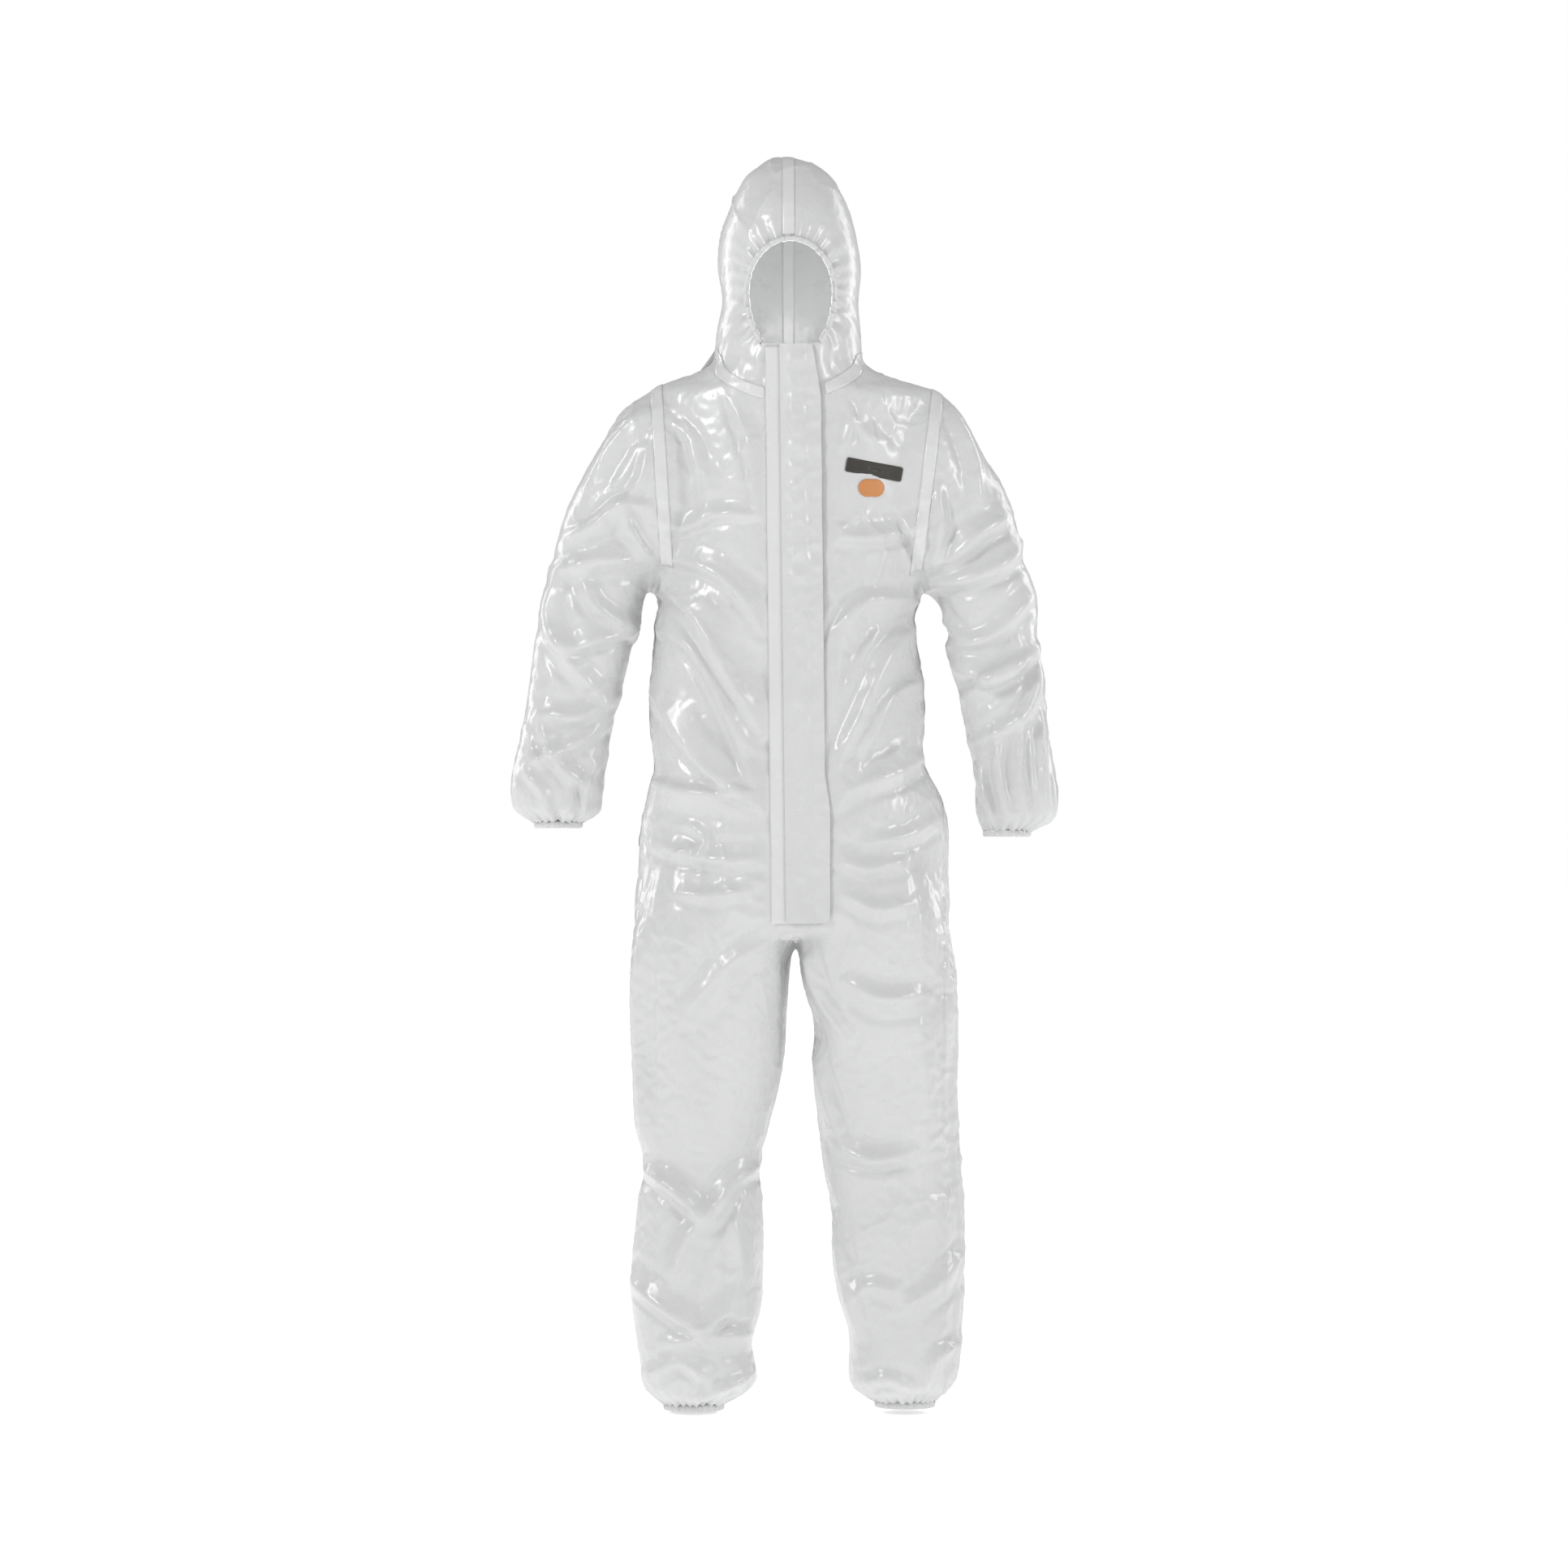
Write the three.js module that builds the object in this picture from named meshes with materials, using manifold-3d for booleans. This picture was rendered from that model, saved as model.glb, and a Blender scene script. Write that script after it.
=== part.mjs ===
// Chemical protective suit: a hooded coverall of film-faced nonwoven, filled out as if it were worn.
//
// Millimetres, +Z up. The wearer faces -Y and the wearer's left is +X. The origin is the middle of the shoulder
// line, where shoulders or a hanger carry the suit. Heights in the tables are taken up from the ankle hems, as a
// garment is measured on a stand, and up() turns them into the part's own Z.

import * as THREE from "three";
import { mergeVertices } from "three/addons/utils/BufferGeometryUtils.js";
import Module from "manifold-3d";

const wasm = await Module();
wasm.setup();

// ---------------------------------------------------------------- driving dimensions
const SHOULDER_HEIGHT = 1443; // shoulder line above the ankle hems
const WALL = 1.2; // fabric, with the thickness of its seams and film
const SEAM_GAP = 0.2; // each side of a sewn seam
const JOINT_GAP = 0.6; // each side of a line where the garment bends
const TAPE_LIFT = 0.4; // seam tape above the fabric
const TAPE_THICK = 0.6;

const CHIN = 1503; // lower edge of the hood, at the chin
const NECK_SEAM = { x: -5.5, height: 1575, radius: 145 }; // its arc in the front view
const NAPE_SEAM = { height: 1480, rise: 0.1 }; // behind, it rises towards the nape
const CROTCH = 690;
const CROTCH_X = 8;
const LEG_LINE_RISE = 0.49; // rise of the leg line from the crotch to the hip, per mm
const KNEE = 355;
const ELBOW = 1100;
const SIDE_SEAM_Y = 8;
const HOOD_SEAM_X = -4;
const SEAM_TAPE_WIDTH = 20;

const FRONT_BASE = { height: 700, y: -128, x: 16 }; // foot of the zip line
const FRONT_LEAN = 0.025; // the centre front leans back by this much per mm of height
const ZIP_DRIFT = -9 / 800; // the zip line drifts to the wearer's right by this much per mm

const FACE = { x: -1, height: 1578, halfWidth: 60, above: 71, below: 95 };
const FACE_CLEARANCE = 5; // fabric edge to the middle of the binding
const BINDING_RADIUS = 3.4;
const BINDING_HOLE = 2.2;
const FACE_ELASTIC_RADIUS = 1.5;

const HEM = { height: 9, depth: 6, gap: 0.3 };
const CUFF_RADIUS = 33;
const ANKLE_RADIUS = 42;
const RIGHT_CUFF = { x: -329.5, y: -18, height: 824 };
const LEFT_CUFF = { x: 305, y: -18, height: 812 };
const RIGHT_ANKLE = { x: -138, y: 0, height: 0 };
const LEFT_ANKLE = { x: 161, y: 0, height: 4 };

const RIGHT_ARMHOLE = { top: [-201.4, 1450], bottom: [-184, 1167] };
const LEFT_ARMHOLE = { top: [219, 1450], bottom: [185, 1167] };
const ARMPIT_TAPE = 1150; // lower edge of the armhole tapes, under the armpit
const SLEEVE_MARGIN = 4; // the space round a sleeve that no body fabric enters
const NECK_TAPE_GAP = { right: -46, left: 40 }; // the neck tape stops beside the storm flap

const WAIST = { height: 925, elastic: 25, tunnel: 35, reach: 150 };
const SIZE_LABEL = { x: -4, y: 95, height: 1460, width: 40, length: 50 };
const BADGE = {
  bar: { x: 115.6, height: 1327, width: 80, tall: 20, corner: 3, tilt: -0.17 },
  spot: { x: 111.6, height: 1301, width: 36, tall: 24, corner: 11, tilt: -0.17 },
};
const FACE_STEPS = 24;
const BINDING_SIDES = 6;
const HEM_STEPS = 16;

// Zip and storm flap, in the zip line's own frame: x across, y into the suit, z up along the zip.
const ZIP = { bottom: 10, top: 802, slot: 14.4, tapeEdge: 14.1, chain: 2.5, slit: 0.7 };
const SLIDER = { bottom: 784, length: 9, halfWidth: 4.5, stud: 6, studRadius: 1.5 };
const PULLER = { length: 28, halfWidth: 2.5, back: -3.0, thickness: 1.2, hole: 1.9 };
// Across the zip, x runs to the wearer's left, y into the suit, and z up, all from the foot of the zip line.
const COIL = { front: -0.9, back: 2.1 };
const SLIDER_PLATES = { front: [-2.2, -1.2], behind: [2.4, 3.4], bridge: 0.4 };
const SLIDER_STUD = { tip: -5.5, rim: 0.9 };
const GUARD = { sewnEdge: -30, bend: -22, freeEdge: 16, near: 1.9, far: 4.9, thickness: 1 };
const FLAP_SEAL = { from: -44, to: -24.8, front: -1, back: -0.4 };
const FLAP_ARCH = { half: 8, foot: 16, past: 45 };
const FLAP_OUTLINE = {
  left: -30,
  top: 810,
  corner: 9, // radius of the lower corner
  cornerX: 29,
  edge: [[40, 150], [33.5, 200], [33.5, 730], [22, 810]], // narrower at the chin
};
const FLAP_ADHESIVE = { x: [18, 28], y: [-1.9, -1.4], z: [20, 730] };
const FLAP_LINER = { x: [17, 29], y: [-1.1, -0.7], z: [18, 732] };
const FLAP = { bottom: -8, top: 802.5, sewnEdge: -24, thickness: 1.2, lift: -2.2, crown: -6.4 };

// ---------------------------------------------------------------- outlines of the filled garment
// One row is one cross-section, from the top of a limb down: its edge points on the wearer's right and left in
// the front view, and how far it reaches to front and back. A row is as round as its limb, unless it says so.
const level = ([height, right, left, front, back, roundness]) => ({
  from: [right, height],
  to: [left, height],
  front,
  back,
  roundness,
});
const slanted = ([rightX, rightHeight, leftX, leftHeight, halfDepth, middleY]) => ({
  from: [rightX, rightHeight],
  to: [leftX, leftHeight],
  front: middleY - halfDepth,
  back: middleY + halfDepth,
});

const TRUNK = {
  around: 28,
  roundness: 2.3,
  sections: [
    [1776, -12, -2, 8, 22], // crown
    [1771, -29, 17, -20, 50],
    [1756, -57, 46, -45, 85],
    [1727, -77, 70, -70, 112],
    [1699, -89, 83, -85, 125],
    [1664, -100, 92, -95, 128], // temples
    [1618, -103, 99, -100, 122],
    [1566, -98, 95, -100, 110], // jaw
    [1503, -108, 100, -111, 98],
    [1480, -113, 103, -111, 101, 2.1], // neck
    [1455, -180, 167, -112, 108, 1.5],
    [1443, -201, 210, -112, 112, 1.8], // shoulder points
    [1400, -197, 206, -113, 126],
    [1300, -190, 195, -116, 138], // chest
    [1170, -184, 185, -119, 137], // armpit
    [1118, -190, 173, -121, 132],
    [1043, -198, 185, -122, 122],
    [925, -195, 187, -125, 113], // waist, drawn in by the elastic
    [865, -205, 213, -127, 128],
    [767, -216, 221, -129, 140], // hips
    [700, -222, 222, -131, 135],
    [680, -220, 220, -122, 130], // seat
  ].map(level),
};

const RIGHT_LEG = {
  around: 16,
  open: true,
  roundness: 2.8,
  sections: [
    [800, -190, -15, -105, 110], // inside the trunk
    [700, -218, 6, -120, 130],
    [660, -225, 1, -120, 130],
    [606, -228, -3, -115, 120], // thigh
    [503, -224, -10, -105, 108],
    [405, -221, -31, -95, 98],
    [345, -207, -46, -88, 88], // knee
    [300, -217, -42, -88, 90],
    [203, -227, -39, -86, 91], // shin
    [103, -220, -56, -82, 84],
    [50, -211, -53, -77, 77],
    [20, -198, -75, -60, 60], // drawn in above the hem
  ].map(level),
};

const LEFT_LEG = {
  around: 16,
  open: true,
  roundness: 2.8,
  sections: [
    [800, 15, 190, -105, 110],
    [700, 12, 218, -120, 130],
    [660, 13, 224, -120, 130],
    [606, 17, 229, -115, 120],
    [503, 32, 232, -105, 108],
    [405, 38, 236, -95, 98],
    [345, 45, 239, -88, 90],
    [273, 59, 244, -88, 92],
    [203, 62, 244, -86, 91],
    [117, 81, 240, -82, 84],
    [60, 81, 236, -78, 78],
    [27, 98, 213, -60, 60],
  ].map(level),
};

const RIGHT_SLEEVE = {
  around: 14,
  open: true,
  roundness: 2.3,
  sections: [
    [-130, 1425, -130, 1195, 80, 5], // inside the trunk
    [-201, 1443, -187, 1167, 95, 5], // armhole
    [-242, 1411, -198, 1165, 90, 5],
    [-302, 1310, -210, 1158, 82, 3],
    [-339, 1204, -214, 1124, 76, 0],
    [-357, 1129, -224, 1087, 70, -4], // elbow
    [-369, 1043, -238, 1028, 64, -8],
    [-380, 968, -253, 968, 61, -12],
    [-397, 870, -268, 865, 60, -16], // balloon above the cuff
    [-388, 848, -274, 843, 50, -18],
  ].map(slanted),
};

const LEFT_SLEEVE = {
  around: 14,
  open: true,
  roundness: 2.3,
  sections: [
    [130, 1195, 130, 1425, 80, 5],
    [185, 1167, 218, 1434, 95, 5],
    [195, 1162, 244, 1403, 90, 5],
    [210, 1141, 291, 1325, 82, 3],
    [224, 1103, 325, 1216, 76, 0],
    [221, 1081, 348, 1152, 71, -3],
    [227, 1049, 348, 1083, 66, -7],
    [240, 1005, 360, 1010, 62, -10],
    [259, 865, 377, 870, 58, -16],
    [265, 838, 368, 836, 48, -18],
  ].map(slanted),
};

// Each limb narrows to its elastic hem, and ends just above it.
function endAtHem(limb, { x, y, height }, radius) {
  const end = height + HEM.height + HEM.gap;
  limb.sections.push(level([end, x - radius, x + radius, y - radius, y + radius]));
}
endAtHem(RIGHT_LEG, RIGHT_ANKLE, ANKLE_RADIUS);
endAtHem(LEFT_LEG, LEFT_ANKLE, ANKLE_RADIUS);
endAtHem(RIGHT_SLEEVE, RIGHT_CUFF, CUFF_RADIUS);
endAtHem(LEFT_SLEEVE, LEFT_CUFF, CUFF_RADIUS);

const up = (height) => height - SHOULDER_HEIGHT;

// ---------------------------------------------------------------- solids
const vec = (x, y, z) => new THREE.Vector3(x, y, z);

function bare(geometry) {
  const copy = geometry.clone();
  copy.deleteAttribute("normal");
  copy.deleteAttribute("uv");
  return mergeVertices(copy, 1e-4);
}

function solidOf(geometry) {
  const merged = bare(geometry);
  const vertProperties = new Float32Array(merged.attributes.position.array);
  const triVerts = new Uint32Array(merged.index.array);
  return new wasm.Manifold(new wasm.Mesh({ numProp: 3, vertProperties, triVerts }));
}

function geometryOf(solid) {
  const { vertProperties, triVerts } = solid.getMesh();
  const geometry = new THREE.BufferGeometry();
  geometry.setAttribute("position", new THREE.BufferAttribute(vertProperties, 3));
  geometry.setIndex(new THREE.BufferAttribute(triVerts, 1));
  const faceted = geometry.toNonIndexed();
  faceted.computeVertexNormals();
  return faceted;
}

// A cut can leave crumbs beside the piece it makes, and only the piece is kept.
const piece = (solid) =>
  solid.decompose().reduce((best, next) => (next.volume() > best.volume() ? next : best));

const unite = (solids) => solids.reduce((all, next) => all.add(next));

const SPACE = 4000;
// The half of space that starts at a point and lies on the side of the normal.
function half(point, normal) {
  const turn = new THREE.Quaternion().setFromUnitVectors(vec(0, 0, 1), normal.clone().normalize());
  const box = new THREE.BoxGeometry(SPACE, SPACE, SPACE).translate(0, 0, SPACE / 2);
  return solidOf(box.applyQuaternion(turn).translate(point.x, point.y, point.z));
}
const above = (height) => half(vec(0, 0, up(height)), vec(0, 0, 1));
const below = (height) => half(vec(0, 0, up(height)), vec(0, 0, -1));
const band = (low, high) => above(low).intersect(below(high));
const leftOf = (x) => half(vec(x, 0, 0), vec(1, 0, 0)); // the wearer's left
const rightOf = (x) => half(vec(x, 0, 0), vec(-1, 0, 0));
const inFrontOf = (y) => half(vec(0, y, 0), vec(0, -1, 0));
const behind = (y) => half(vec(0, y, 0), vec(0, 1, 0));

// A flat shape drawn in the front view, pushed from y towards the front.
function frontPrism(shape, y, depth) {
  const prism = new THREE.ExtrudeGeometry(shape, { depth, bevelEnabled: false, curveSegments: 10 });
  return solidOf(prism.rotateX(Math.PI / 2).translate(0, y, 0));
}

// ---------------------------------------------------------------- the garment's skins
const OVERSHOOT = 4;
const rounded = (value, roundness) => Math.sign(value) * Math.abs(value) ** (2 / roundness);

// A loft through a limb's cross-sections, grown or shrunk along its surface normals. Any skin but the outside runs
// straight on past the hem, so that the limb is open there.
function loft({ around, roundness, sections: rows, open }, grow) {
  const hem = rows[rows.length - 1];
  const lowered = ([x, height]) => [x, height - OVERSHOOT];
  const past = { ...hem, from: lowered(hem.from), to: lowered(hem.to) };
  const sections = open && grow !== 0 ? [...rows, past] : rows;
  const last = sections.length - 1;
  const geometry = new THREE.CylinderGeometry(1, 1, 1, around, last);
  const ring = geometry.attributes.position;
  for (let i = 0; i < ring.count; i++) {
    const section = sections[Math.round((ring.getY(i) + 0.5) * last)];
    const { from, to, front, back } = section;
    const across = rounded(ring.getX(i), section.roundness ?? roundness);
    const deep = rounded(ring.getZ(i), section.roundness ?? roundness);
    const x = (from[0] + to[0]) / 2 + ((to[0] - from[0]) / 2) * across;
    const y = (front + back) / 2 + ((back - front) / 2) * deep;
    const height = (from[1] + to[1]) / 2 + ((to[1] - from[1]) / 2) * across;
    ring.setXYZ(i, x, y, up(height));
  }
  const skin = bare(geometry);
  skin.computeVertexNormals();
  const { position, normal } = skin.attributes;
  for (let i = 0; i < position.count; i++) {
    const point = new THREE.Vector3().fromBufferAttribute(position, i);
    point.addScaledVector(new THREE.Vector3().fromBufferAttribute(normal, i), grow);
    position.setXYZ(i, point.x, point.y, point.z);
  }
  return solidOf(skin);
}

const LEAN = vec(0, -1, FRONT_LEAN).normalize(); // outward from the flat centre front
const frontPoint = vec(FRONT_BASE.x, FRONT_BASE.y, up(FRONT_BASE.height));
const inFrontOfZip = (grow) => half(frontPoint.clone().addScaledVector(LEAN, grow), LEAN);

const skins = new Map();
// The outside of the whole garment, grown by a distance. The centre front is flat, for the zip.
function skin(grow) {
  if (!skins.has(grow)) {
    const limbs = [TRUNK, RIGHT_LEG, LEFT_LEG, RIGHT_SLEEVE, LEFT_SLEEVE];
    const whole = unite(limbs.map((limb) => loft(limb, grow)));
    skins.set(grow, whole.subtract(inFrontOfZip(grow)));
  }
  return skins.get(grow);
}
const layer = (low, high) => skin(high).subtract(skin(low));
const fabric = layer(-WALL, 0);
const outerTape = layer(TAPE_LIFT, TAPE_LIFT + TAPE_THICK);

// ---------------------------------------------------------------- the lines that divide the fabric
const RIGHT = -1;
const LEFT = 1;
const sideOf = (side, x) => (side === RIGHT ? rightOf(x) : leftOf(x));

// The hood's side of the neck seam: an arc in front, and a sloping line behind. A lift moves the seam up.
function aboveNeckSeam(lift) {
  const { x, height, radius } = NECK_SEAM;
  const arc = new THREE.CylinderGeometry(radius - lift, radius - lift, SPACE, 48);
  const front = solidOf(arc.translate(x, 0, up(height))).intersect(inFrontOf(0));
  const nape = half(vec(0, 0, up(NAPE_SEAM.height) + lift), vec(0, -NAPE_SEAM.rise, 1));
  return front.add(nape.intersect(behind(0)));
}

function belowLegLine(side, lift) {
  return half(vec(CROTCH_X, 0, up(CROTCH) + lift), vec(side * LEG_LINE_RISE, 0, -1));
}

// The outer side of an armhole, moved outwards by a distance.
function outsideArmhole(side, shift) {
  const { top, bottom } = side === RIGHT ? RIGHT_ARMHOLE : LEFT_ARMHOLE;
  const normal = vec(top[1] - bottom[1], 0, bottom[0] - top[0]).multiplyScalar(side).normalize();
  return half(vec(top[0], 0, up(top[1])).addScaledVector(normal, shift), normal);
}
function sleeveSpace(side, shift) {
  const sleeve = side === RIGHT ? RIGHT_SLEEVE : LEFT_SLEEVE;
  return outsideArmhole(side, shift).intersect(loft(sleeve, SLEEVE_MARGIN));
}

// The zip line's own frame.
const zipUp = vec(ZIP_DRIFT, FRONT_LEAN, 1).normalize();
const zipIn = LEAN.clone().negate();
const zipAcross = vec(0, 0, 0).crossVectors(zipIn, zipUp);
const zipFrame = new THREE.Matrix4().makeBasis(zipAcross, zipIn, zipUp).setPosition(frontPoint);
const onZipSide = (side, shift) =>
  half(frontPoint.clone().addScaledVector(zipAcross, side * shift), zipAcross.clone().multiplyScalar(side));

const bar = (x0, x1, y0, y1, z0, z1) =>
  new THREE.BoxGeometry(x1 - x0, y1 - y0, z1 - z0).translate((x0 + x1) / 2, (y0 + y1) / 2, (z0 + z1) / 2);
const inZipFrame = (geometry) => solidOf(geometry.applyMatrix4(zipFrame));
const zipSlot = inZipFrame(bar(-ZIP.slot, ZIP.slot, -10, 10, ZIP.bottom, ZIP.top + 30));

// The face opening is egg-shaped, wider above, and the chin cuts off its lower end.
function faceEdge(angle, grow) {
  const { x, height, halfWidth, above: upper, below: lower } = FACE;
  const reach = Math.sin(angle) > 0 ? upper : lower;
  return [x + (halfWidth + grow) * Math.cos(angle), up(height) + (reach + grow) * Math.sin(angle)];
}
function faceOpening(grow) {
  const outline = [];
  for (let i = 0; i < FACE_STEPS; i++) {
    outline.push(new THREE.Vector2(...faceEdge((i / FACE_STEPS) * 2 * Math.PI, grow)));
  }
  return frontPrism(new THREE.Shape(outline), 0, 300);
}

// ---------------------------------------------------------------- materials
const finish = (color, roughness, metalness = 0) =>
  new THREE.MeshStandardMaterial({ color, roughness, metalness });
const FABRIC = finish(0xeceded, 0.42);
const SEAM_TAPE = finish(0xf1f2f2, 0.34);
const ELASTIC = finish(0xe4e4e2, 0.85);
const ZIP_TAPE = finish(0xe6e7e8, 0.8);
const ZIP_TEETH = finish(0xf0f0ee, 0.4);
const SLIDER_METAL = finish(0xc9cbcd, 0.35, 0.85);
const BADGE_DARK = finish(0x34322c, 0.5);
const BADGE_ORANGE = finish(0xd9874a, 0.5);
const ADHESIVE = finish(0xe9e6da, 0.6);
const LINER = finish(0xf4f4f0, 0.4);
const LABEL = finish(0xf5f5f3, 0.7);

const suit = new THREE.Group();
function add(parent, name, geometry, material) {
  const mesh = new THREE.Mesh(geometry, material);
  mesh.name = name;
  parent.add(mesh);
}
const addPiece = (name, solid, material) => add(suit, name, geometryOf(piece(solid)), material);

// ---------------------------------------------------------------- hood
const hood = fabric.intersect(above(CHIN + JOINT_GAP)).subtract(faceOpening(FACE_CLEARANCE));
addPiece("hood_right_panel", hood.intersect(rightOf(HOOD_SEAM_X - SEAM_GAP)), FABRIC);
addPiece("hood_left_panel", hood.intersect(leftOf(HOOD_SEAM_X + SEAM_GAP)), FABRIC);

const hoodTapeEdges = [HOOD_SEAM_X - SEAM_TAPE_WIDTH / 2, HOOD_SEAM_X + SEAM_TAPE_WIDTH / 2];
const hoodTapeBand = leftOf(hoodTapeEdges[0]).intersect(rightOf(hoodTapeEdges[1]));
const hoodTape = outerTape.intersect(above(CHIN + JOINT_GAP)).intersect(hoodTapeBand);
addPiece("hood_centre_tape", hoodTape.subtract(faceOpening(FACE_CLEARANCE + 1)), SEAM_TAPE);

// How far forward the hood reaches at a point of the front view.
function hoodFront(x, z) {
  const rows = TRUNK.sections;
  const lower = rows.findIndex((row) => up(row.from[1]) <= z);
  const [a, b] = [rows[lower - 1], rows[lower]];
  const t = (up(a.from[1]) - z) / (a.from[1] - b.from[1]);
  const mix = (p, q) => p + (q - p) * t;
  const [right, left] = [mix(a.from[0], b.from[0]), mix(a.to[0], b.to[0])];
  const [front, back] = [mix(a.front, b.front), mix(a.back, b.back)];
  const across = Math.abs((2 * x - right - left) / (left - right));
  const deep = (1 - across ** TRUNK.roundness) ** (1 / TRUNK.roundness);
  return (front + back) / 2 - ((back - front) / 2) * deep;
}

// The binding and the cord in it run from chin to chin, over the brow.
function roundTheFace(section) {
  const chinAngle = Math.asin((FACE.height - CHIN - BINDING_RADIUS) / FACE.below);
  const points = [];
  for (let i = 0; i <= FACE_STEPS; i++) {
    const [x, z] = faceEdge(-chinAngle + (i / FACE_STEPS) * (Math.PI + 2 * chinAngle), 0);
    points.push(vec(x, hoodFront(x, z) + WALL / 2, z));
  }
  const extrudePath = new THREE.CatmullRomCurve3(points);
  return new THREE.ExtrudeGeometry(section, { steps: FACE_STEPS, bevelEnabled: false, extrudePath });
}
const circle = (radius) => {
  const points = [];
  for (let i = 0; i < BINDING_SIDES; i++) {
    const angle = (i / BINDING_SIDES) * 2 * Math.PI;
    points.push(new THREE.Vector2(radius * Math.cos(angle), radius * Math.sin(angle)));
  }
  return points;
};
const bindingSection = new THREE.Shape(circle(BINDING_RADIUS));
bindingSection.holes.push(new THREE.Path(circle(BINDING_HOLE)));
add(suit, "face_binding", roundTheFace(bindingSection), FABRIC);
add(suit, "face_elastic", roundTheFace(new THREE.Shape(circle(FACE_ELASTIC_RADIUS))), ELASTIC);

// ---------------------------------------------------------------- body
const body = fabric
  .intersect(below(CHIN - JOINT_GAP))
  .subtract(sleeveSpace(RIGHT, -JOINT_GAP))
  .subtract(sleeveSpace(LEFT, -JOINT_GAP))
  .subtract(belowLegLine(RIGHT, JOINT_GAP))
  .subtract(belowLegLine(LEFT, JOINT_GAP))
  .subtract(zipSlot);

const neck = body.intersect(aboveNeckSeam(SEAM_GAP));
const trunk = body.subtract(aboveNeckSeam(-SEAM_GAP));
const front = trunk.intersect(inFrontOf(SIDE_SEAM_Y - SEAM_GAP));
addPiece("front_right_panel", front.intersect(onZipSide(RIGHT, SEAM_GAP)), FABRIC);
addPiece("front_left_panel", front.intersect(onZipSide(LEFT, SEAM_GAP)), FABRIC);
addPiece("back_panel", trunk.intersect(behind(SIDE_SEAM_Y + SEAM_GAP)), FABRIC);

for (const [name, side] of [
  ["hood_neck_right", RIGHT],
  ["hood_neck_left", LEFT],
]) {
  const frontPart = neck.intersect(inFrontOf(0)).intersect(onZipSide(side, SEAM_GAP));
  const napePart = neck.intersect(behind(0)).intersect(sideOf(side, HOOD_SEAM_X + side * SEAM_GAP));
  addPiece(name, frontPart.add(napePart), FABRIC);
}

const halfTape = SEAM_TAPE_WIDTH / 2;
const flapGround = inZipFrame(bar(NECK_TAPE_GAP.right, NECK_TAPE_GAP.left, -20, 20, 0, 900));
const neckBand = aboveNeckSeam(-halfTape).subtract(aboveNeckSeam(halfTape)).intersect(below(CHIN - 2));
const armholeBand = (side) =>
  outsideArmhole(side, -SEAM_TAPE_WIDTH)
    .subtract(outsideArmhole(side, -JOINT_GAP))
    .intersect(above(ARMPIT_TAPE));
addPiece("neck_seam_tape", outerTape.intersect(neckBand).subtract(flapGround), SEAM_TAPE);
for (const [name, side] of [
  ["right", RIGHT],
  ["left", LEFT],
]) {
  const clear = outerTape.subtract(sleeveSpace(side, -JOINT_GAP)).intersect(sideOf(side, side * 100));
  const ring = clear.intersect(armholeBand(side)).subtract(aboveNeckSeam(-halfTape - 1));
  addPiece(`${name}_armhole_tape`, ring, SEAM_TAPE);
  const seam = clear
    .intersect(inFrontOf(SIDE_SEAM_Y + halfTape))
    .intersect(behind(SIDE_SEAM_Y - halfTape))
    .intersect(below(ARMPIT_TAPE - 1))
    .subtract(belowLegLine(side, JOINT_GAP));
  addPiece(`${name}_side_seam_tape`, seam, SEAM_TAPE);
}

// The back waist: an elastic band inside the back panel, under a strip of fabric.
const backWaist = (height, width, low, high) =>
  layer(low, high)
    .intersect(band(height - width / 2, height + width / 2))
    .intersect(behind(SIDE_SEAM_Y))
    .intersect(leftOf(-WAIST.reach))
    .intersect(rightOf(WAIST.reach));
addPiece("waist_elastic", backWaist(WAIST.height, WAIST.elastic, -WALL - 1.4, -WALL - 0.4), ELASTIC);
addPiece("waist_tunnel", backWaist(WAIST.height, WAIST.tunnel, -WALL - 2.6, -WALL - 1.8), FABRIC);

const { x: labelX, y: labelY, height: labelHeight, width: labelWidth, length: labelLength } = SIZE_LABEL;
const label = new THREE.BoxGeometry(labelWidth, 0.5, labelLength);
add(suit, "size_label", label.translate(labelX, labelY, up(labelHeight)), LABEL);

// The badge is two plain patches on the left chest: a tilted bar, and a spot under it.
function patch(shape) {
  return layer(TAPE_LIFT, TAPE_LIFT + 0.8).intersect(frontPrism(shape, 0, 300));
}
function roundedBar({ x, height, width, tall, corner, tilt }) {
  const turn = (px, pz) => {
    const [c, s] = [Math.cos(tilt), Math.sin(tilt)];
    return new THREE.Vector2(x + px * c - pz * s, up(height) + px * s + pz * c);
  };
  const outline = [];
  for (let i = 0; i < 16; i++) {
    const angle = ((i + 0.5) / 16) * 2 * Math.PI;
    const cornerX = Math.sign(Math.cos(angle)) * (width / 2 - corner);
    const cornerZ = Math.sign(Math.sin(angle)) * (tall / 2 - corner);
    outline.push(turn(cornerX + corner * Math.cos(angle), cornerZ + corner * Math.sin(angle)));
  }
  return new THREE.Shape(outline);
}
addPiece("badge_bar", patch(roundedBar(BADGE.bar)), BADGE_DARK);
addPiece("badge_spot", patch(roundedBar(BADGE.spot)), BADGE_ORANGE);

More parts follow.
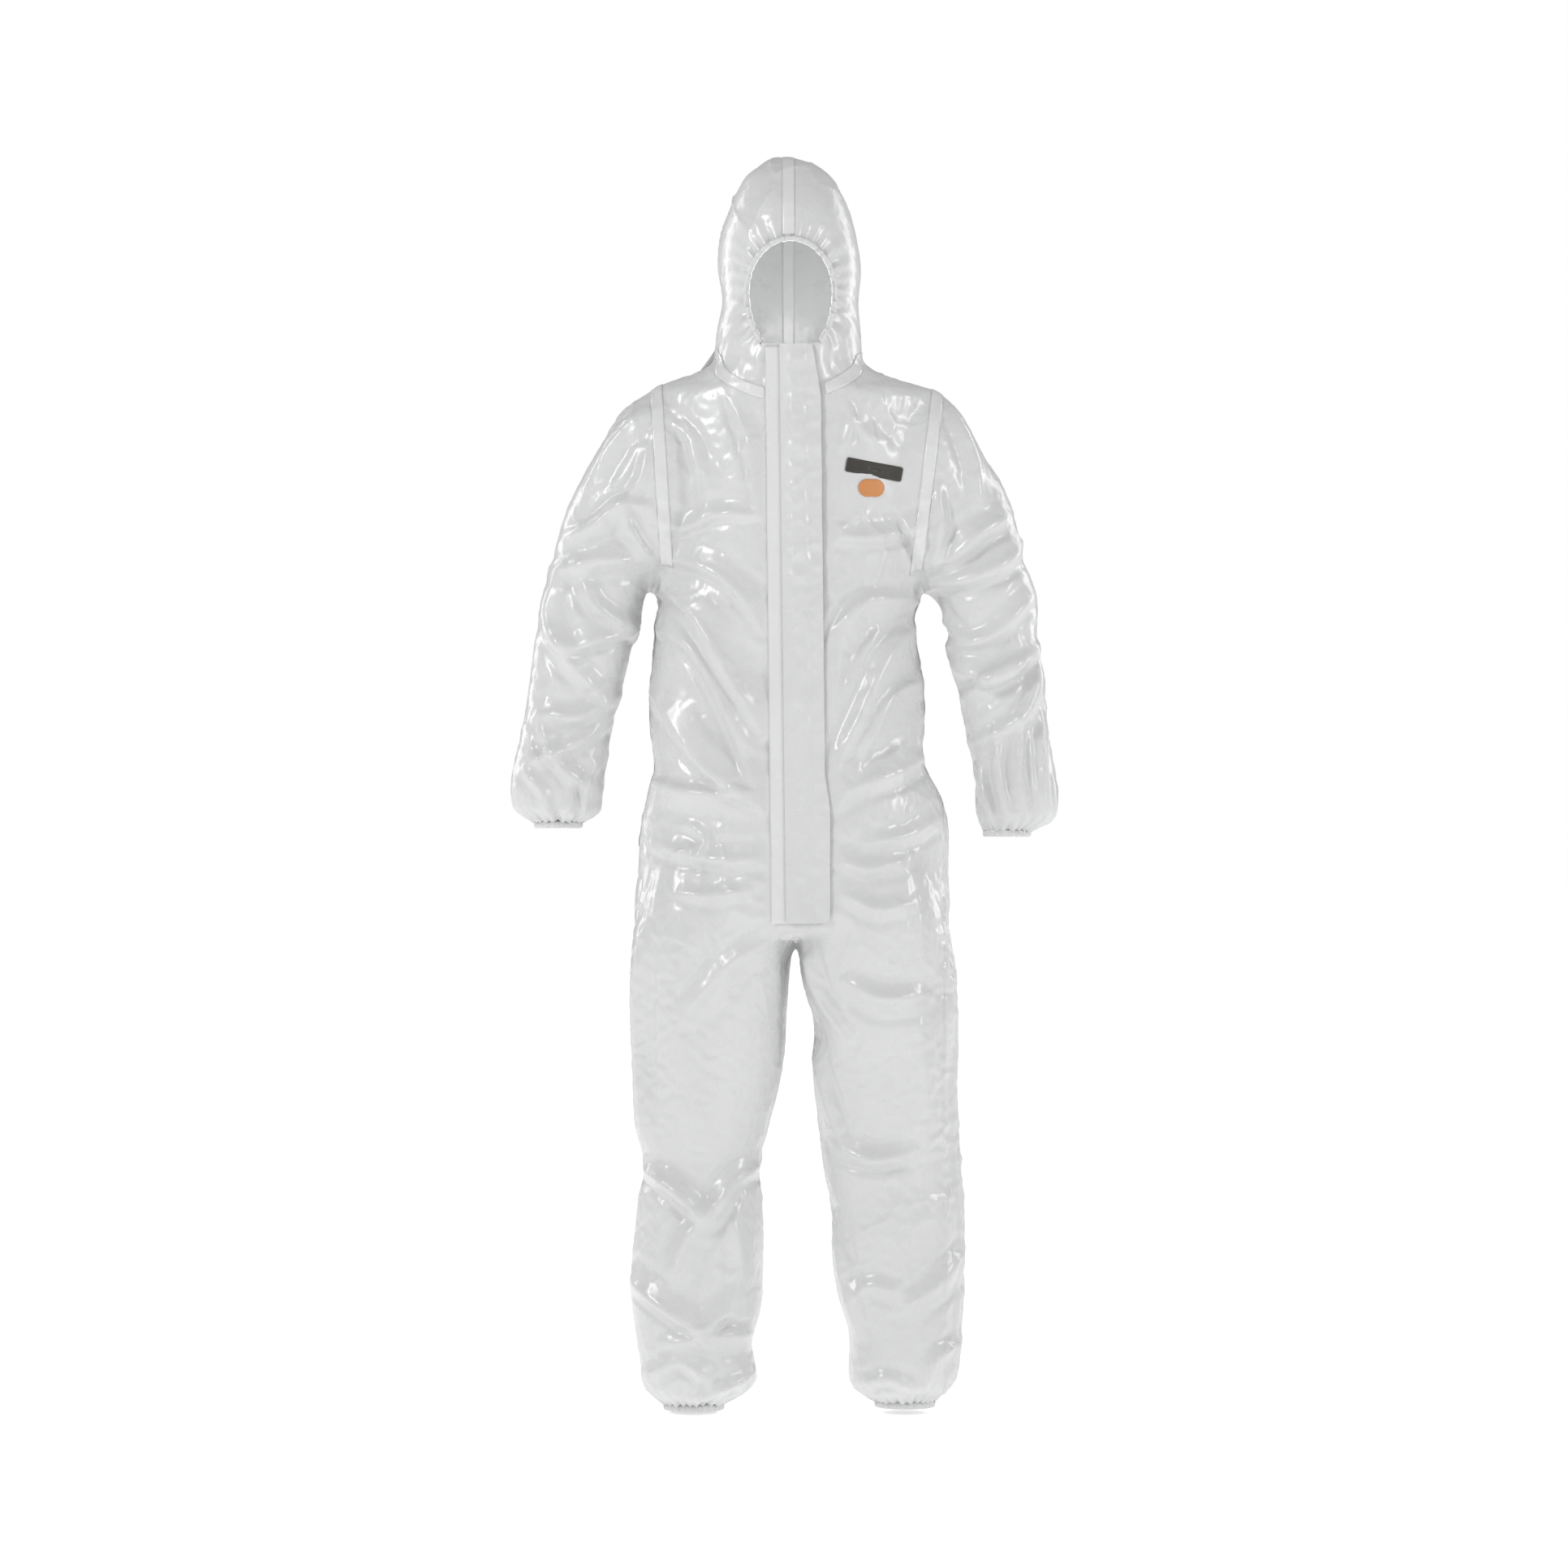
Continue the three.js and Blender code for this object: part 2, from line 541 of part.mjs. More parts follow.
// ---------------------------------------------------------------- sleeves and legs
for (const [name, side] of [
  ["right", RIGHT],
  ["left", LEFT],
]) {
  const sleeve = fabric.intersect(sleeveSpace(side, JOINT_GAP));
  addPiece(`${name}_upper_sleeve`, sleeve.intersect(above(ELBOW + JOINT_GAP)), FABRIC);
  addPiece(`${name}_lower_sleeve`, sleeve.intersect(below(ELBOW - JOINT_GAP)), FABRIC);

  const leg = fabric
    .intersect(belowLegLine(side, -JOINT_GAP))
    .intersect(sideOf(side, CROTCH_X + side * JOINT_GAP))
    .subtract(loft(side === RIGHT ? RIGHT_SLEEVE : LEFT_SLEEVE, SLEEVE_MARGIN));
  addPiece(`${name}_thigh`, leg.intersect(above(KNEE + JOINT_GAP)), FABRIC);
  addPiece(`${name}_shin`, leg.intersect(below(KNEE - JOINT_GAP)), FABRIC);
}

// A ring turned from a closed (radius, height) profile, standing on a hem's lower edge.
function turned(profile, { x, y, height }) {
  const closed = [...profile, profile[0]].map(([radius, rise]) => new THREE.Vector2(radius, rise));
  return new THREE.LatheGeometry(closed, HEM_STEPS).rotateX(Math.PI / 2).translate(x, y, up(height));
}

// A hem is a folded channel, open upwards, with a flat elastic band in it.
for (const [name, at, radius] of [
  ["right_cuff", RIGHT_CUFF, CUFF_RADIUS],
  ["left_cuff", LEFT_CUFF, CUFF_RADIUS],
  ["right_ankle", RIGHT_ANKLE, ANKLE_RADIUS],
  ["left_ankle", LEFT_ANKLE, ANKLE_RADIUS],
]) {
  const inner = radius - HEM.depth;
  const channel = [
    [inner, 0],
    [radius, 0],
    [radius, HEM.height],
    [radius - WALL, HEM.height],
    [radius - WALL, WALL],
    [inner + WALL, WALL],
    [inner + WALL, HEM.height],
    [inner, HEM.height],
  ];
  const bandGap = 0.6;
  const bandBottom = WALL + bandGap;
  const elastic = [
    [inner + WALL + bandGap, bandBottom],
    [radius - WALL - bandGap, bandBottom],
    [radius - WALL - bandGap, HEM.height - bandGap],
    [inner + WALL + bandGap, HEM.height - bandGap],
  ];
  add(suit, `${name}_hem`, turned(channel, at), FABRIC);
  add(suit, `${name}_elastic`, turned(elastic, at), ELASTIC);
}

// ---------------------------------------------------------------- zip and storm flap, in the zip line's frame
const placket = new THREE.Group();
placket.applyMatrix4(zipFrame);
suit.add(placket);

function strip(outline, low, high) {
  const shape = new THREE.Shape(outline.map(([x, y]) => new THREE.Vector2(x, y)));
  return new THREE.ExtrudeGeometry(shape, { depth: high - low, bevelEnabled: false }).translate(0, 0, low);
}
// The cross-section of a sheet that follows a line, thickened to one side.
const sheet = (line, thickness) => [...line, ...line.map(([x, y]) => [x, y + thickness]).reverse()];
const mirrored = (side, a, b) => (side === RIGHT ? [-b, -a] : [a, b]);

const { bottom: zipBottom, top: zipTop, chain, slit, tapeEdge } = ZIP;
const closed = SLIDER.bottom;
const coil = (x0, x1, z0, z1) => bar(x0, x1, COIL.front, COIL.back, z0, z1);
for (const [name, side] of [
  ["right", RIGHT],
  ["left", LEFT],
]) {
  const [tape0, tape1] = mirrored(side, chain + 0.3, tapeEdge);
  const [teeth0, teeth1] = mirrored(side, slit, chain);
  add(placket, `zip_tape_${name}`, bar(tape0, tape1, 0, WALL, zipBottom + 0.3, zipTop), ZIP_TAPE);
  add(placket, `zip_teeth_${name}`, coil(teeth0, teeth1, zipBottom + 4, closed + 11), ZIP_TEETH);
}
add(placket, "zip_bottom_stop", coil(-chain, chain, zipBottom + 0.5, zipBottom + 3.7), SLIDER_METAL);
add(placket, "zip_top_stop", coil(-chain, chain, closed + 11.3, closed + 14), SLIDER_METAL);

// The inner guard lies behind the zip, sewn to the right front, with room for the slider.
const guardLine = [
  [GUARD.sewnEdge, GUARD.near],
  [GUARD.bend, GUARD.far],
  [GUARD.freeEdge, GUARD.far],
];
add(placket, "zip_guard", strip(sheet(guardLine, GUARD.thickness), zipBottom + 2, zipTop - 2), FABRIC);
const { from: sealFrom, to: sealTo, front: sealFront, back: sealBack } = FLAP_SEAL;
add(placket, "flap_seam_tape", bar(sealFrom, sealTo, sealFront, sealBack, FLAP.bottom, FLAP.top), SEAM_TAPE);

// The slider: a plate in front of the teeth and one behind them, joined through the slit, and a stud for the
// puller.
const plate = (y0, y1) => {
  const { bottom, length, halfWidth } = SLIDER;
  return solidOf(bar(-halfWidth, halfWidth, y0, y1, bottom, bottom + length));
};
const stud = (radius, y0, y1, z) =>
  solidOf(new THREE.CylinderGeometry(radius, radius, y1 - y0, 16).translate(0, (y0 + y1) / 2, z));
const studZ = closed + SLIDER.stud;
const { front: [frontOuter, frontInner], behind: [backInner, backOuter], bridge } = SLIDER_PLATES;
const slider = unite([
  plate(frontOuter, frontInner),
  plate(backInner, backOuter),
  solidOf(bar(-bridge, bridge, frontInner - 0.1, backInner + 0.1, closed, closed + SLIDER.length)),
  stud(SLIDER.studRadius, SLIDER_STUD.tip + 0.2, frontOuter + 0.1, studZ),
  stud(SLIDER.studRadius + SLIDER_STUD.rim, SLIDER_STUD.tip, SLIDER_STUD.tip + 0.8, studZ),
]);
add(placket, "zip_slider", geometryOf(slider), SLIDER_METAL);

const { halfWidth: pullHalf, back: pullBack, thickness: pullThick, length: pullLength, hole } = PULLER;
const pullEye = pullHalf + 0.7;
const pullEnd = pullHalf - pullLength;
const pullShape = new THREE.Shape();
pullShape.moveTo(-pullHalf, pullEnd);
pullShape.lineTo(pullHalf, pullEnd);
pullShape.lineTo(pullEye, 0);
pullShape.absarc(0, 0, pullEye, 0, Math.PI, false);
pullShape.holes.push(new THREE.Path().absarc(0, 0, hole, 0, 2 * Math.PI, true));
const pull = new THREE.ExtrudeGeometry(pullShape, { depth: pullThick, bevelEnabled: false, curveSegments: 8 });
add(placket, "zip_puller", pull.rotateX(Math.PI / 2).translate(0, pullBack, studZ), SLIDER_METAL);

// The storm flap: sewn beside the zip, arched over the slider, flat towards its free edge.
const flapLine = [
  [FLAP.sewnEdge, FLAP.lift],
  [-FLAP_ARCH.half, FLAP.crown],
  [FLAP_ARCH.half, FLAP.crown],
  [FLAP_ARCH.foot, FLAP.lift],
  [FLAP_ARCH.past, FLAP.lift],
];
const flapShape = new THREE.Shape();
const { left: shapeLeft, top: shapeTop, corner, cornerX, edge: flapEdge } = FLAP_OUTLINE;
flapShape.moveTo(shapeLeft, FLAP.bottom);
flapShape.absarc(cornerX, FLAP.bottom + corner, corner, -Math.PI / 2, 0, false);
for (const [x, z] of flapEdge) flapShape.lineTo(x, z);
flapShape.lineTo(shapeLeft, shapeTop);
const flapStrip = solidOf(strip(sheet(flapLine, -FLAP.thickness).reverse(), FLAP.bottom, FLAP.top));
add(placket, "outer_storm_flap", geometryOf(flapStrip.intersect(frontPrism(flapShape, 5, 30))), FABRIC);
for (const [name, { x, y, z }, material] of [
  ["flap_adhesive_tape", FLAP_ADHESIVE, ADHESIVE],
  ["flap_release_liner", FLAP_LINER, LINER],
]) {
  add(placket, name, bar(...x, ...y, ...z), material);
}

export default suit;
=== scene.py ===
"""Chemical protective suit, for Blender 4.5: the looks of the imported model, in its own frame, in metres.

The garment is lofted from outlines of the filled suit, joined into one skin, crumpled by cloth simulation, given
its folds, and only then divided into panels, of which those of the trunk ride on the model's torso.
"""

import math

import bmesh
import bpy
import numpy as np
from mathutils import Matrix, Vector
from mathutils import noise as perlin
from mathutils.bvhtree import BVHTree


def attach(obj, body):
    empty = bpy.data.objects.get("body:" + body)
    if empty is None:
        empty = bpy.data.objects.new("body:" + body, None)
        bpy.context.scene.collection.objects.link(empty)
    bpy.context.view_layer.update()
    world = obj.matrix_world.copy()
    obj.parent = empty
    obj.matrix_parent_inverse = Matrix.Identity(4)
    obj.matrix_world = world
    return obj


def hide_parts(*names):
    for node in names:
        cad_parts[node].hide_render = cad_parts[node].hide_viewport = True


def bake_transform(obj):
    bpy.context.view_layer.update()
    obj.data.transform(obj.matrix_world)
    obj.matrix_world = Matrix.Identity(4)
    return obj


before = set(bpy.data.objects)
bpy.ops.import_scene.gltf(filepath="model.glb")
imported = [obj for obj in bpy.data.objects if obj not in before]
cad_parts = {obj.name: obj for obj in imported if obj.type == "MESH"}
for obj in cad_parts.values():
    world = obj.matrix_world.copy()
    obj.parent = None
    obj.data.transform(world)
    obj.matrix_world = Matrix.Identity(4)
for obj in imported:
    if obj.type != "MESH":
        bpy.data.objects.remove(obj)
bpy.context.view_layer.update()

MM = 0.001
SHOULDER_HEIGHT = 1443  # mm above the ankle hems, where the frame has its origin
CHIN = 1503
CROTCH = 690
CROTCH_X = 8
LEG_LINE_RISE = 0.49
KNEE = 355
ELBOW = 1100
SIDE_SEAM_Y = 8
HOOD_SEAM_X = -4
NECK_ARC = (-5.5, 1575, 145)  # x, height and radius of the neck seam in the front view
NAPE = (1480, 0.1)  # height and rise of the neck seam behind
RIGHT, LEFT = -1, 1
SIDES = (("right", RIGHT), ("left", LEFT))
ARMHOLE = {RIGHT: ((-201.4, 1450), (-184, 1167)), LEFT: ((219, 1450), (185, 1167))}
FACE = {"x": -1, "height": 1578, "half_width": 60, "above": 71, "below": 95}
HEMS = {  # x, y, height of the lower edge, radius
    "right_cuff": (-329.5, -18, 824, 33),
    "left_cuff": (305, -18, 812, 33),
    "right_ankle": (-138, 0, 0, 42),
    "left_ankle": (161, 0, 4, 42),
}
HEM_TALL = 9

VOXEL = 7 * MM

# ---------------------------------------------------------------- outlines, in millimetres
# height, right edge, left edge, front, back, roundness; from the crown down
TRUNK = [
    (1777, -12, -2, 8, 22, 2.3),
    (1771, -29, 17, -20, 50, 2.3),
    (1756, -57, 46, -45, 85, 2.3),
    (1727, -77, 70, -70, 112, 2.3),
    (1699, -89, 83, -85, 125, 2.3),
    (1664, -100, 92, -95, 128, 2.3),
    (1618, -103, 99, -100, 122, 2.3),
    (1566, -98, 95, -101, 110, 2.2),
    (1532, -105, 98, -106, 102, 2.2),
    (1503, -108, 100, -111, 98, 2.2),
    (1480, -113, 103, -111, 101, 2.1),
    (1466, -142, 130, -112, 105, 1.8),
    (1455, -178, 166, -112, 108, 1.6),
    (1443, -199, 208, -112, 112, 1.8),
    (1400, -197, 206, -113, 126, 2.1),
    (1354, -192, 201, -115, 135, 2.3),
    (1262, -189, 190, -117, 138, 2.3),
    (1170, -184, 185, -119, 137, 2.3),
    (1118, -190, 173, -121, 132, 2.3),
    (1043, -198, 185, -122, 122, 2.3),
    (986, -201, 189, -124, 117, 2.3),
    (940, -197, 185, -125, 112, 2.3),
    (917, -193, 187, -125, 112, 2.3),
    (865, -205, 213, -127, 128, 2.3),
    (825, -213, 221, -128, 136, 2.3),
    (767, -216, 221, -129, 140, 2.3),
    (700, -222, 222, -131, 135, 2.5),
    (680, -220, 220, -124, 130, 2.6),
]
RIGHT_LEG = [
    (800, -190, -15, -105, 110, 2.8),
    (700, -218, 4, -124, 130, 2.8),
    (652, -225, 0, -121, 128, 2.8),
    (606, -228, -3, -115, 120, 2.6),
    (560, -227, -7, -111, 114, 2.5),
    (503, -224, -10, -105, 108, 2.4),
    (450, -223, -20, -100, 102, 2.4),
    (405, -221, -31, -95, 98, 2.4),
    (374, -214, -39, -91, 93, 2.4),
    (345, -207, -46, -88, 88, 2.4),
    (310, -215, -43, -88, 89, 2.4),
    (261, -221, -39, -88, 92, 2.4),
    (203, -227, -39, -86, 91, 2.4),
    (169, -228, -40, -85, 90, 2.4),
    (135, -224, -44, -83, 88, 2.4),
    (103, -220, -56, -82, 84, 2.4),
    (66, -214, -51, -80, 80, 2.4),
    (35, -209, -53, -74, 74, 2.4),
    (17, -192, -81, -58, 55, 2.2),
    (9, -180, -96, -42, 42, 2.0),
    (0, -180, -96, -42, 42, 2.0),
]
LEFT_LEG = [
    (800, 15, 190, -105, 110, 2.8),
    (700, 12, 218, -124, 130, 2.8),
    (652, 13, 224, -121, 128, 2.8),
    (606, 17, 229, -115, 120, 2.6),
    (560, 30, 232, -111, 114, 2.5),
    (503, 32, 232, -105, 108, 2.4),
    (450, 33, 232, -100, 102, 2.4),
    (405, 38, 236, -95, 98, 2.4),
    (345, 45, 239, -88, 90, 2.4),
    (273, 59, 244, -88, 92, 2.4),
    (203, 62, 244, -86, 91, 2.4),
    (158, 68, 243, -85, 89, 2.4),
    (117, 81, 240, -82, 84, 2.4),
    (66, 81, 237, -80, 80, 2.4),
    (42, 82, 230, -74, 74, 2.4),
    (24, 98, 213, -60, 58, 2.2),
    (13, 119, 203, -42, 42, 2.0),
    (4, 119, 203, -42, 42, 2.0),
]
# x and height of the right-hand edge, of the left-hand edge, half depth, middle y; from the shoulder down
RIGHT_SLEEVE = [
    (-130, 1425, -130, 1195, 80, 5),
    (-201, 1442, -187, 1167, 95, 5),
    (-242, 1411, -198, 1165, 90, 5),
    (-276, 1357, -205, 1163, 86, 4),
    (-302, 1310, -210, 1158, 82, 3),
    (-320, 1270, -213, 1144, 79, 2),
    (-339, 1204, -214, 1124, 75, 0),
    (-357, 1129, -224, 1087, 70, -4),
    (-369, 1043, -238, 1028, 64, -8),
    (-380, 968, -253, 968, 61, -12),
    (-394, 905, -262, 911, 60, -15),
    (-396, 870, -268, 865, 58, -17),
    (-387, 846, -276, 842, 50, -18),
    (-362.5, 833, -296.5, 833, 33, -18),
    (-362.5, 824, -296.5, 824, 33, -18),
]
LEFT_SLEEVE = [
    (130, 1195, 130, 1425, 80, 5),
    (185, 1167, 217, 1434, 95, 5),
    (195, 1162, 244, 1403, 90, 5),
    (201, 1155, 265, 1365, 86, 4),
    (210, 1141, 291, 1325, 82, 3),
    (217, 1124, 313, 1279, 79, 2),
    (224, 1103, 325, 1216, 75, 0),
    (221, 1081, 348, 1152, 71, -3),
    (227, 1049, 347, 1083, 66, -7),
    (239, 1009, 358, 1020, 62, -10),
    (247, 957, 363, 957, 60, -12),
    (259, 905, 371, 905, 59, -14),
    (260, 865, 377, 870, 57, -16),
    (264, 836, 368, 834, 48, -18),
    (272, 821, 338, 821, 33, -18),
    (272, 812, 338, 812, 33, -18),
]


def up(height):
    """The frame's z, in metres, of a height in millimetres above the ankle hems."""
    return (height - SHOULDER_HEIGHT) * MM


def level_rows(rows):
    """Rows as (right x, right height, left x, left height, front, back, roundness)."""
    return [(r, h, l, h, front, back, n) for h, r, l, front, back, n in rows]


def slanted_rows(rows):
    return [(rx, rh, lx, lh, mid - deep, mid + deep, 2.3) for rx, rh, lx, lh, deep, mid in rows]


# ---------------------------------------------------------------- mesh helpers
def new_object(name, vertices, faces):
    mesh = bpy.data.meshes.new(name)
    mesh.from_pydata([tuple(v) for v in vertices], [], faces)
    mesh.update()
    obj = bpy.data.objects.new(name, mesh)
    bpy.context.scene.collection.objects.link(obj)
    return obj


def coordinates(mesh):
    flat = np.empty(len(mesh.vertices) * 3, np.float32)
    mesh.vertices.foreach_get("co", flat)
    return flat.reshape(-1, 3).astype(float)


def set_coordinates(mesh, points):
    mesh.vertices.foreach_set("co", np.asarray(points, np.float32).ravel())
    mesh.update()


def vertex_normals(mesh):
    flat = np.empty(len(mesh.vertices) * 3, np.float32)
    mesh.vertex_normals.foreach_get("vector", flat)
    return flat.reshape(-1, 3).astype(float)


def edge_pairs(mesh):
    flat = np.empty(len(mesh.edges) * 2, np.int32)
    mesh.edges.foreach_get("vertices", flat)
    return flat.reshape(-1, 2)


def apply_modifiers(obj):
    """Replaces obj's mesh by what its modifiers make of it."""
    bpy.context.view_layer.update()
    evaluated = obj.evaluated_get(bpy.context.evaluated_depsgraph_get())
    result = bpy.data.meshes.new_from_object(evaluated)
    obj.modifiers.clear()
    old = obj.data
    obj.data = result
    bpy.data.meshes.remove(old)


def relax(mesh, weight, rounds, amount=0.5):
    """Laplacian smoothing, by a weight from 0 to 1 on each vertex."""
    points = coordinates(mesh)
    pairs = edge_pairs(mesh)
    count = np.bincount(pairs.ravel(), minlength=len(points))[:, None]
    for _ in range(rounds):
        total = np.zeros_like(points)
        np.add.at(total, pairs[:, 0], points[pairs[:, 1]])
        np.add.at(total, pairs[:, 1], points[pairs[:, 0]])
        mean = total / np.maximum(count, 1)
        points += (mean - points) * (weight[:, None] * amount)
    set_coordinates(mesh, points)


def smoothstep(value, low, high):
    t = np.clip((value - low) / (high - low), 0, 1)
    return t * t * (3 - 2 * t)


# ---------------------------------------------------------------- the garment's skin
AROUND = 96


def resampled(rows, spacing):
    """Rows taken along a smooth curve through the given ones."""
    rows = np.array(rows, float)
    middle = (rows[:, 0:2] + rows[:, 2:4]) / 2
    steps = np.linalg.norm(np.diff(middle, axis=0), axis=1) + 1
    run = np.concatenate([[0], np.cumsum(steps)])
    slope = np.gradient(rows, run, axis=0)
    at = np.linspace(0, run[-1], int(run[-1] / spacing) + 2)
    i = np.clip(np.searchsorted(run, at) - 1, 0, len(run) - 2)
    span = (run[i + 1] - run[i])[:, None]
    t = (at - run[i])[:, None] / span
    start = (2 * t**3 - 3 * t**2 + 1) * rows[i] + (t**3 - 2 * t**2 + t) * span * slope[i]
    end = (3 * t**2 - 2 * t**3) * rows[i + 1] + (t**3 - t**2) * span * slope[i + 1]
    return start + end


def loft(name, rows):
    """A closed skin through the rows' superellipses."""
    rows = resampled(rows, 9)
    angle = np.arange(AROUND) / AROUND * 2 * math.pi
    vertices = []
    for rx, rh, lx, lh, front, back, roundness in rows:
        across = np.sign(np.cos(angle)) * np.abs(np.cos(angle)) ** (2 / roundness)
        deep = np.sign(np.sin(angle)) * np.abs(np.sin(angle)) ** (2 / roundness)
        x = (rx + lx) / 2 + (lx - rx) / 2 * across
        z = (rh + lh) / 2 + (lh - rh) / 2 * across - SHOULDER_HEIGHT
        y = (front + back) / 2 + (back - front) / 2 * deep
        vertices += [(a * MM, b * MM, c * MM) for a, b, c in zip(x, y, z)]
    faces = []
    for row in range(len(rows) - 1):
        for i in range(AROUND):
            a, b = row * AROUND + i, row * AROUND + (i + 1) % AROUND
            faces.append((a, b, b + AROUND, a + AROUND))
    last = (len(rows) - 1) * AROUND
    faces.append(tuple(range(AROUND - 1, -1, -1)))
    faces.append(tuple(range(last, last + AROUND)))
    obj = new_object(name, vertices, faces)
    bm = bmesh.new()
    bm.from_mesh(obj.data)
    bmesh.ops.recalc_face_normals(bm, faces=bm.faces)
    bm.to_mesh(obj.data)
    bm.free()
    return obj


FRONT_LEAN = 0.025
ZIP_FOOT = np.array([16, -128, 700 - SHOULDER_HEIGHT]) * MM
ZIP_UP = np.array([-9 / 800, FRONT_LEAN, 1])
ZIP_UP /= np.linalg.norm(ZIP_UP)
ZIP_OUT = np.array([0, -1, FRONT_LEAN])
ZIP_OUT /= np.linalg.norm(ZIP_OUT)
ZIP_ACROSS = np.cross(-ZIP_OUT, ZIP_UP)


def zip_point(across, out, along):
    """A point in the zip line's frame: millimetres to the wearer's left, out of the chest, and up the zip."""
    return ZIP_FOOT + (ZIP_ACROSS * across + ZIP_OUT * out + ZIP_UP * along) * MM


def in_zip_frame(points):
    """(across, out, along) in millimetres of points in the row frame."""
    away = (points - ZIP_FOOT) / MM
    return np.stack([away @ ZIP_ACROSS, away @ ZIP_OUT, away @ ZIP_UP], axis=1)


def face_distance(points, grow=0.0):
    """Below 0 inside the face opening, above 0 outside, in millimetres, and the nearest angle."""
    x = points[:, 0] / MM - FACE["x"]
    z = points[:, 2] / MM + SHOULDER_HEIGHT - FACE["height"]
    reach = np.where(z > 0, FACE["above"], FACE["below"]) + grow
    wide = FACE["half_width"] + grow
    radius = np.sqrt((x / wide) ** 2 + (z / reach) ** 2)
    angle = np.arctan2(z / reach, x / wide)
    return (radius - 1) * np.where(np.abs(z) > np.abs(x), reach, wide), angle


def face_point(angle, grow=0.0):
    reach = (FACE["above"] if math.sin(angle) > 0 else FACE["below"]) + grow
    x = FACE["x"] + (FACE["half_width"] + grow) * math.cos(angle)
    return x * MM, up(FACE["height"] + reach * math.sin(angle))


def make_skin():
    """The whole suit as one open sheet: no cloth over the face, the wrists and the ankles."""
    parts = [
        loft("trunk_loft", level_rows(TRUNK)),
        loft("right_leg_loft", level_rows(RIGHT_LEG)),
        loft("left_leg_loft", level_rows(LEFT_LEG)),
        loft("right_sleeve_loft", slanted_rows(RIGHT_SLEEVE)),
        loft("left_sleeve_loft", slanted_rows(LEFT_SLEEVE)),
    ]
    bm = bmesh.new()
    for part in parts:
        bm.from_mesh(part.data)
        bpy.data.objects.remove(part)
    skin = new_object("garment", [], [])
    bm.to_mesh(skin.data)
    bm.free()
    remesh = skin.modifiers.new("remesh", "REMESH")
    remesh.mode = "VOXEL"
    remesh.voxel_size = VOXEL
    apply_modifiers(skin)

    points = coordinates(skin.data)
    height = points[:, 2] / MM + SHOULDER_HEIGHT
    near_crotch = np.exp(-(((points[:, 0] / MM - CROTCH_X) / 70) ** 2) - ((height - CROTCH) / 60) ** 2)
    armpits = sum(np.exp(-((np.hypot(points[:, 0] / MM - x, height - 1165) / 40) ** 2)) for x in (-190, 190))
    relax(skin.data, np.clip(near_crotch + 0.6 * armpits, 0, 1), 40)
    relax(skin.data, np.full(len(points), 1.0), 2)

    # The centre front lies flat behind the zip.
    points = coordinates(skin.data)
    local = in_zip_frame(points)
    proud = (local[:, 1] > 0) & (local[:, 2] > -20) & (local[:, 2] < 830)
    points[proud] -= ZIP_OUT * (local[proud, 1] * MM)[:, None]
    set_coordinates(skin.data, points)
    open_ends(skin)
    return skin


def open_ends(skin):
    bm = bmesh.new()
    bm.from_mesh(skin.data)
    bm.verts.ensure_lookup_table()
    points = coordinates(skin.data)
    height = points[:, 2] / MM + SHOULDER_HEIGHT
    away, _ = face_distance(points, 3)
    inside = (away < 0) & (points[:, 1] < -0.02) & (height > CHIN + 1)
    for x, y, foot, radius in HEMS.values():
        near = np.hypot(points[:, 0] / MM - x, points[:, 1] / MM - y) < radius + 12
        inside |= near & (height < foot + HEM_TALL + 2)
    doomed = [f for f in bm.faces if any(inside[v.index] for v in f.verts)]
    bmesh.ops.delete(bm, geom=doomed, context="FACES")
    loose = [v for v in bm.verts if not v.link_faces]
    bmesh.ops.delete(bm, geom=loose, context="VERTS")
    for v in bm.verts:
        if not v.is_boundary:
            continue
        h = v.co.z / MM + SHOULDER_HEIGHT
        if h > 1400:
            spot = np.array([v.co])
            _, angle = face_distance(spot, 3)
            x, z = face_point(float(angle[0]), 3)
            v.co.x, v.co.z = x, max(z, up(CHIN + 1))
            continue
        x, y, foot, radius = min(HEMS.values(), key=lambda e: abs(v.co.x / MM - e[0]) + abs(h - e[2]))
        angle = math.atan2(v.co.y / MM - y, v.co.x / MM - x)
        v.co = Vector(((x + radius * math.cos(angle)) * MM, (y + radius * math.sin(angle)) * MM, up(foot + HEM_TALL)))
    bm.to_mesh(skin.data)
    bm.free()
    rim = rim_vertices(skin.data)
    near_rim = spread(skin.data, rim, 3)
    relax(skin.data, np.where(rim > 0, 0, near_rim), 6)


def rim_vertices(mesh):
    """1 on the vertices of open edges."""
    bm = bmesh.new()
    bm.from_mesh(mesh)
    rim = np.array([1.0 if v.is_boundary else 0.0 for v in bm.verts])
    bm.free()
    return rim


def spread(mesh, marked, rings):
    """Marked vertices and those within some edges of them, as 1 and 0."""
    pairs = edge_pairs(mesh)
    marked = marked.copy()
    for _ in range(rings):
        grown = marked.copy()
        np.maximum.at(grown, pairs[:, 0], marked[pairs[:, 1]])
        np.maximum.at(grown, pairs[:, 1], marked[pairs[:, 0]])
        marked = grown
    return marked



